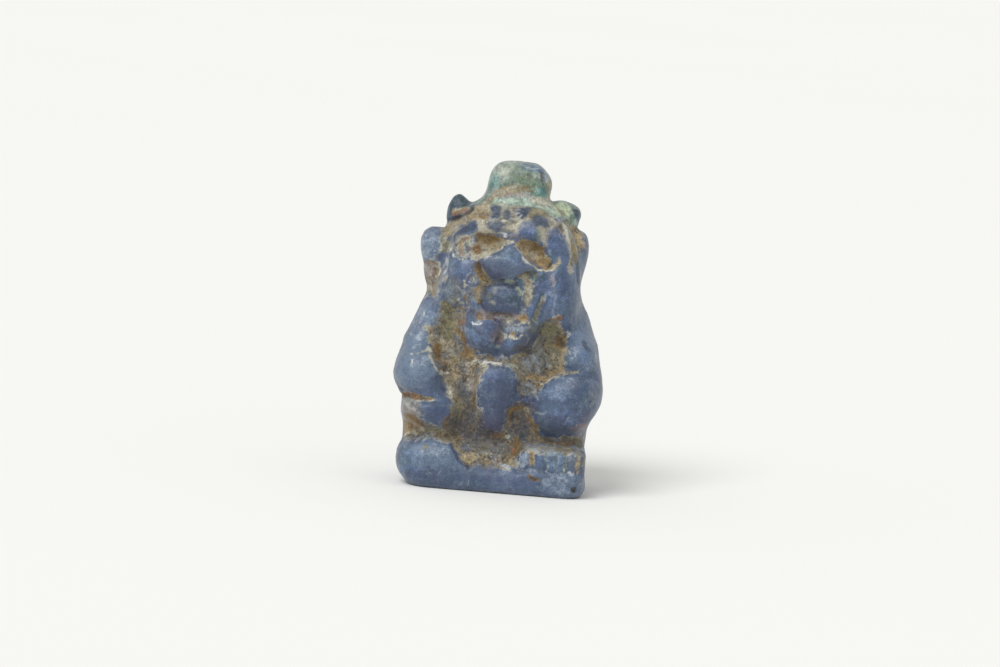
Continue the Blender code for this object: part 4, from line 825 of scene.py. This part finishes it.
class Paint:
    """Builds one material's nodes."""

    def __init__(self, name):
        self.material = bpy.data.materials.new(name)
        self.material.use_nodes = True
        self.tree = self.material.node_tree
        self.shader = self.tree.nodes["Principled BSDF"]
        self.where = self.tree.nodes.new("ShaderNodeTexCoord").outputs["Object"]

    def node(self, kind, **settings):
        made = self.tree.nodes.new(kind)
        for name, value in settings.items():
            setattr(made, name, value)
        return made

    def put(self, socket, value):
        if isinstance(value, bpy.types.NodeSocket):
            self.tree.links.new(value, socket)
        else:
            socket.default_value = value

    def mask(self, name):
        return self.node("ShaderNodeAttribute", attribute_name=name).outputs["Fac"]

    def noise(self, size, detail=3.0, rough=0.55, where=None):
        """Noise over a size in millimetres."""
        made = self.node("ShaderNodeTexNoise")
        self.put(made.inputs["Vector"], where or self.where)
        self.put(made.inputs["Scale"], 1 / (size * MM))
        self.put(made.inputs["Detail"], detail)
        self.put(made.inputs["Roughness"], rough)
        return made.outputs["Fac"]

    def streaks(self, size, turn, stretch):
        made = self.node("ShaderNodeMapping", vector_type="TEXTURE")
        self.put(made.inputs["Vector"], self.where)
        self.put(made.inputs["Rotation"], (0.2, math.radians(turn), 0.1))
        self.put(made.inputs["Scale"], (1.0, 1.0, stretch))
        return self.noise(size, 2.0, 0.5, made.outputs["Vector"])

    def shifted(self, distance):
        """Another place in the noise, so that two noises differ."""
        made = self.node("ShaderNodeVectorMath", operation="ADD")
        self.put(made.inputs[0], self.where)
        self.put(made.inputs[1], (distance, distance, distance))
        return made.outputs[0]

    def ramp(self, value, low, high):
        made = self.node("ShaderNodeMapRange", interpolation_type="SMOOTHSTEP")
        self.put(made.inputs["Value"], value)
        self.put(made.inputs["From Min"], low)
        self.put(made.inputs["From Max"], high)
        return made.outputs["Result"]

    def math(self, operation, a, b):
        made = self.node("ShaderNodeMath", operation=operation)
        self.put(made.inputs[0], a)
        self.put(made.inputs[1], b)
        return made.outputs["Value"]

    def plus(self, *values):
        total = values[0]
        for value in values[1:]:
            total = self.math("ADD", total, value)
        return total

    def times(self, a, b):
        return self.math("MULTIPLY", a, b)

    def greater(self, a, b):
        return self.math("MAXIMUM", a, b)

    def centred(self, value, gain):
        return self.times(self.math("SUBTRACT", value, 0.5), gain)

    def scaled(self, colour, factor):
        made = self.node("ShaderNodeVectorMath", operation="SCALE")
        self.put(made.inputs[0], colour)
        self.put(made.inputs["Scale"], factor)
        return made.outputs[0]

    def mix(self, share, under, over):
        """One colour over another; each is a socket or a screen colour."""
        made = self.node("ShaderNodeMix", data_type="RGBA")
        self.put(made.inputs["Factor"], share)
        for name, colour in (("A", under), ("B", over)):
            self.put(made.inputs[name], linear(colour) if isinstance(colour, tuple) else colour)
        return made.outputs["Result"]

    def layers(self, colour, rows):
        """Lays colours over one: rows of a mask, where it starts and is full, its most and a colour."""
        for mask, start, full, most, over in rows:
            colour = self.mix(self.times(self.ramp(mask, start, full), most), colour, over)
        return colour


def weathered_glass():
    paint = Paint("weathered_blue_glass")
    dirt, deep, crease = (paint.mask(name) for name in ("dirt", "deep", "crease"))
    broad = paint.noise(2.4, 3.0, 0.55)
    tint = paint.noise(1.5, 3.0, 0.6, paint.shifted(0.1))
    blotch = paint.noise(0.9, 3.0, 0.6)
    fine = paint.noise(0.45, 4.0, 0.65)
    speck = paint.noise(0.24, 3.0, 0.65, paint.shifted(0.2))
    grain = paint.noise(0.14, 3.0, 0.7)
    fibre = paint.greater(paint.streaks(0.18, 25, 3.0), paint.streaks(0.18, -60, 3.0))
    wobble = paint.plus(paint.centred(fine, 1.0), paint.centred(grain, 0.6))
    edge = paint.plus(dirt, paint.times(wobble, 1.6))
    tone = paint.plus(paint.mask("tone"), paint.times(wobble, 1.2))

    # Blue glass, its bloom and its scratches, with painted light and shade from the tone mask and a painted
    # highlight on the ridges
    glass = paint.layers(GLASS_DEEP, (
        (broad, 0.38, 0.62, 1.0, GLASS_MIDDLE),
        (tint, 0.55, 0.7, 0.5, GLASS_VIOLET),
        (tint, 0.45, 0.3, 0.5, GLASS_TEAL),
        # Painted light and painted shade from the tone mask
        (tone, 0.0, 1.0, 0.75, GLASS_LIGHT),
        (tone, -0.05, -0.9, 0.7, GLASS_SHADE),
        (blotch, 0.5, 0.7, 0.3, GLASS_BLOOM_AND_HIGHLIGHT),
        # Lighter where the crease mask falls below 0, on the ridges: a painted highlight
        (crease, 0.1, -1.6, 0.4, GLASS_BLOOM_AND_HIGHLIGHT),
        (grain, 0.52, 0.72, 0.3, GLASS_BLOOM_AND_HIGHLIGHT),
        (grain, 0.42, 0.3, 0.35, GLASS_DARK),
    ))
    for turn, stretch, width in ((35, 8.0, 0.15), (-50, 9.0, 0.13), (12, 7.0, 0.17), (80, 10.0, 0.14)):
        line = paint.ramp(paint.streaks(width, turn, stretch), 0.64, 0.76)
        line = paint.times(line, paint.ramp(blotch, 0.4, 0.6))
        glass = paint.mix(paint.times(line, 0.5), glass, SCRATCH)

    # Dirt, tan where a field of it starts, and its pale rim
    shore = paint.times(paint.ramp(paint.plus(deep, wobble), 0.6, 0.1), paint.ramp(broad, 0.42, 0.55))
    brown = paint.layers(DIRT_BROWN, (
        (blotch, 0.4, 0.56, 1.0, DIRT_GREY),
        (fine, 0.5, 0.32, 0.5, DIRT_DARK),
        (speck, 0.47, 0.34, 0.6, DIRT_DARK),
        (fibre, 0.52, 0.72, 0.55, DIRT_PALE),
        (tint, 0.52, 0.66, 0.45, GLASS_MIDDLE),
    ))
    brown = paint.mix(paint.times(shore, 0.6), brown, DIRT_TAN)
    soiled = paint.ramp(edge, -0.25, 0.35)
    colour = paint.mix(paint.times(soiled, 0.9), glass, brown)
    rim = paint.times(paint.ramp(edge, -0.35, 0.0), paint.ramp(edge, 0.35, 0.0))
    rim = paint.times(rim, paint.ramp(blotch, 0.4, 0.62))
    colour = paint.mix(paint.times(rim, 0.55), colour, RIM_CREAM)

    # Green patina on the head
    green = paint.layers(PATINA_GREEN, (
        (blotch, 0.42, 0.6, 1.0, PATINA_GREY),
        (fine, 0.55, 0.75, 1.0, PATINA_MINT),
        (grain, 0.5, 0.35, 0.35, PATINA_DARK),
    ))
    patina = paint.times(paint.mask("patina"), paint.ramp(fine, 0.25, 0.45))
    colour = paint.mix(patina, colour, green)

    # The strokes, with gaps in them, and painted shade darkening the creases
    strokes = paint.node("ShaderNodeAttribute", attribute_name="paint").outputs
    gaps = paint.math("SUBTRACT", 1.0, paint.times(paint.ramp(speck, 0.49, 0.64), 0.4))
    cover = paint.times(paint.ramp(paint.plus(strokes["Alpha"], paint.times(wobble, 1.7)), 0.0, 0.9), gaps)
    colour = paint.mix(cover, colour, strokes["Color"])
    colour = paint.layers(colour, ((crease, 0.5, 3.0, 0.45, CREASE_SHADE),))

    # Lighter and darker spots, stronger on dirt and patina than on glass
    crust = paint.greater(paint.greater(cover, soiled), paint.times(patina, 0.4))
    mottle = paint.plus(paint.centred(fine, 0.9), paint.centred(speck, 1.5), paint.centred(grain, 0.9))
    value = paint.plus(paint.centred(fine, 0.5), paint.centred(blotch, 0.4))
    value = paint.plus(value, paint.centred(grain, 0.8), 0.97)
    colour = paint.scaled(colour, paint.plus(value, paint.times(mottle, crust)))
    paint.put(paint.shader.inputs["Base Color"], colour)

    paint.put(paint.shader.inputs["Sheen Weight"], 0.2)
    rough = paint.plus(0.44, paint.times(paint.ramp(edge, -0.1, 0.2), 0.4))
    paint.put(paint.shader.inputs["Roughness"], rough)
    bump = paint.node("ShaderNodeBump")
    paint.put(bump.inputs["Strength"], 0.5)
    paint.put(bump.inputs["Distance"], 0.05 * MM)
    paint.put(bump.inputs["Height"], paint.plus(grain, fine))
    paint.put(paint.shader.inputs["Normal"], bump.outputs["Normal"])
    return paint.material


def plain_floor():
    paint = Paint("pale_floor")
    paint.put(paint.shader.inputs["Base Color"], paint.mix(paint.noise(200, 2.0, 0.5), FLOOR, FLOOR_LIGHT))
    paint.put(paint.shader.inputs["Roughness"], 0.9)
    return paint.material


def add_piece():
    data = shape_figurine()
    data.name = "figurine_glass"
    data.materials.clear()
    data.materials.append(weathered_glass())
    data.shade_smooth()
    piece = bpy.data.objects.new("figurine_glass", data)
    bpy.context.scene.collection.objects.link(piece)
    triangles = sum(len(face.vertices) - 2 for face in data.polygons)
    if triangles > MOST_TRIANGLES:
        raise ValueError(f"{triangles} triangles")
    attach(piece, "root")
    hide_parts("figurine")


def add_floor():
    data = bpy.data.meshes.new("floor")
    corners = [(x * FLOOR_REACH, y * FLOOR_REACH, 0) for x, y in ((-1, -1), (1, -1), (1, 1), (-1, 1))]
    data.from_pydata(corners, [], [(0, 1, 2, 3)])
    data.materials.append(plain_floor())
    floor = bpy.data.objects.new("floor", data)
    bpy.context.scene.collection.objects.link(floor)


def add_lights():
    world = bpy.data.worlds.new("studio")
    world.use_nodes = True
    sky = world.node_tree.nodes["Background"].inputs
    sky["Color"].default_value = SKY_COLOUR
    sky["Strength"].default_value = SKY_STRENGTH
    bpy.context.scene.world = world
    data = bpy.data.lights.new("key", "SUN")
    data.energy = SUN_STRENGTH
    data.angle = math.radians(SUN_SPREAD)
    key = bpy.data.objects.new("key", data)
    key.rotation_euler = Vector(SUN_DIRECTION).to_track_quat("-Z", "Y").to_euler()
    bpy.context.scene.collection.objects.link(key)


def add_camera():
    data = bpy.data.cameras.new("camera")
    data.sensor_width = SENSOR
    data.lens = SENSOR * VIEW_DISTANCE / (PICTURE_WIDTH / PIXELS_PER_MM * MM)
    camera = bpy.data.objects.new("camera", data)
    tilt = math.radians(VIEW_ELEVATION)
    across, up = PICTURE_MIDDLE
    lift = (up - FRONT_FORWARD * math.sin(tilt)) / math.cos(tilt)
    target = Vector((across * MM, 0.0, lift * MM))
    back = Vector((0.0, -math.cos(tilt), math.sin(tilt)))
    aim = (-back).to_track_quat("-Z", "Y").to_matrix()
    roll = Matrix.Rotation(math.radians(VIEW_ROLL), 3, "Z")
    camera.matrix_world = Matrix.Translation(target + back * VIEW_DISTANCE) @ (aim @ roll).to_4x4()
    bpy.context.scene.collection.objects.link(camera)
    bpy.context.scene.camera = camera


add_piece()
add_floor()
add_lights()
add_camera()
bpy.context.scene.view_settings.view_transform = "Standard"
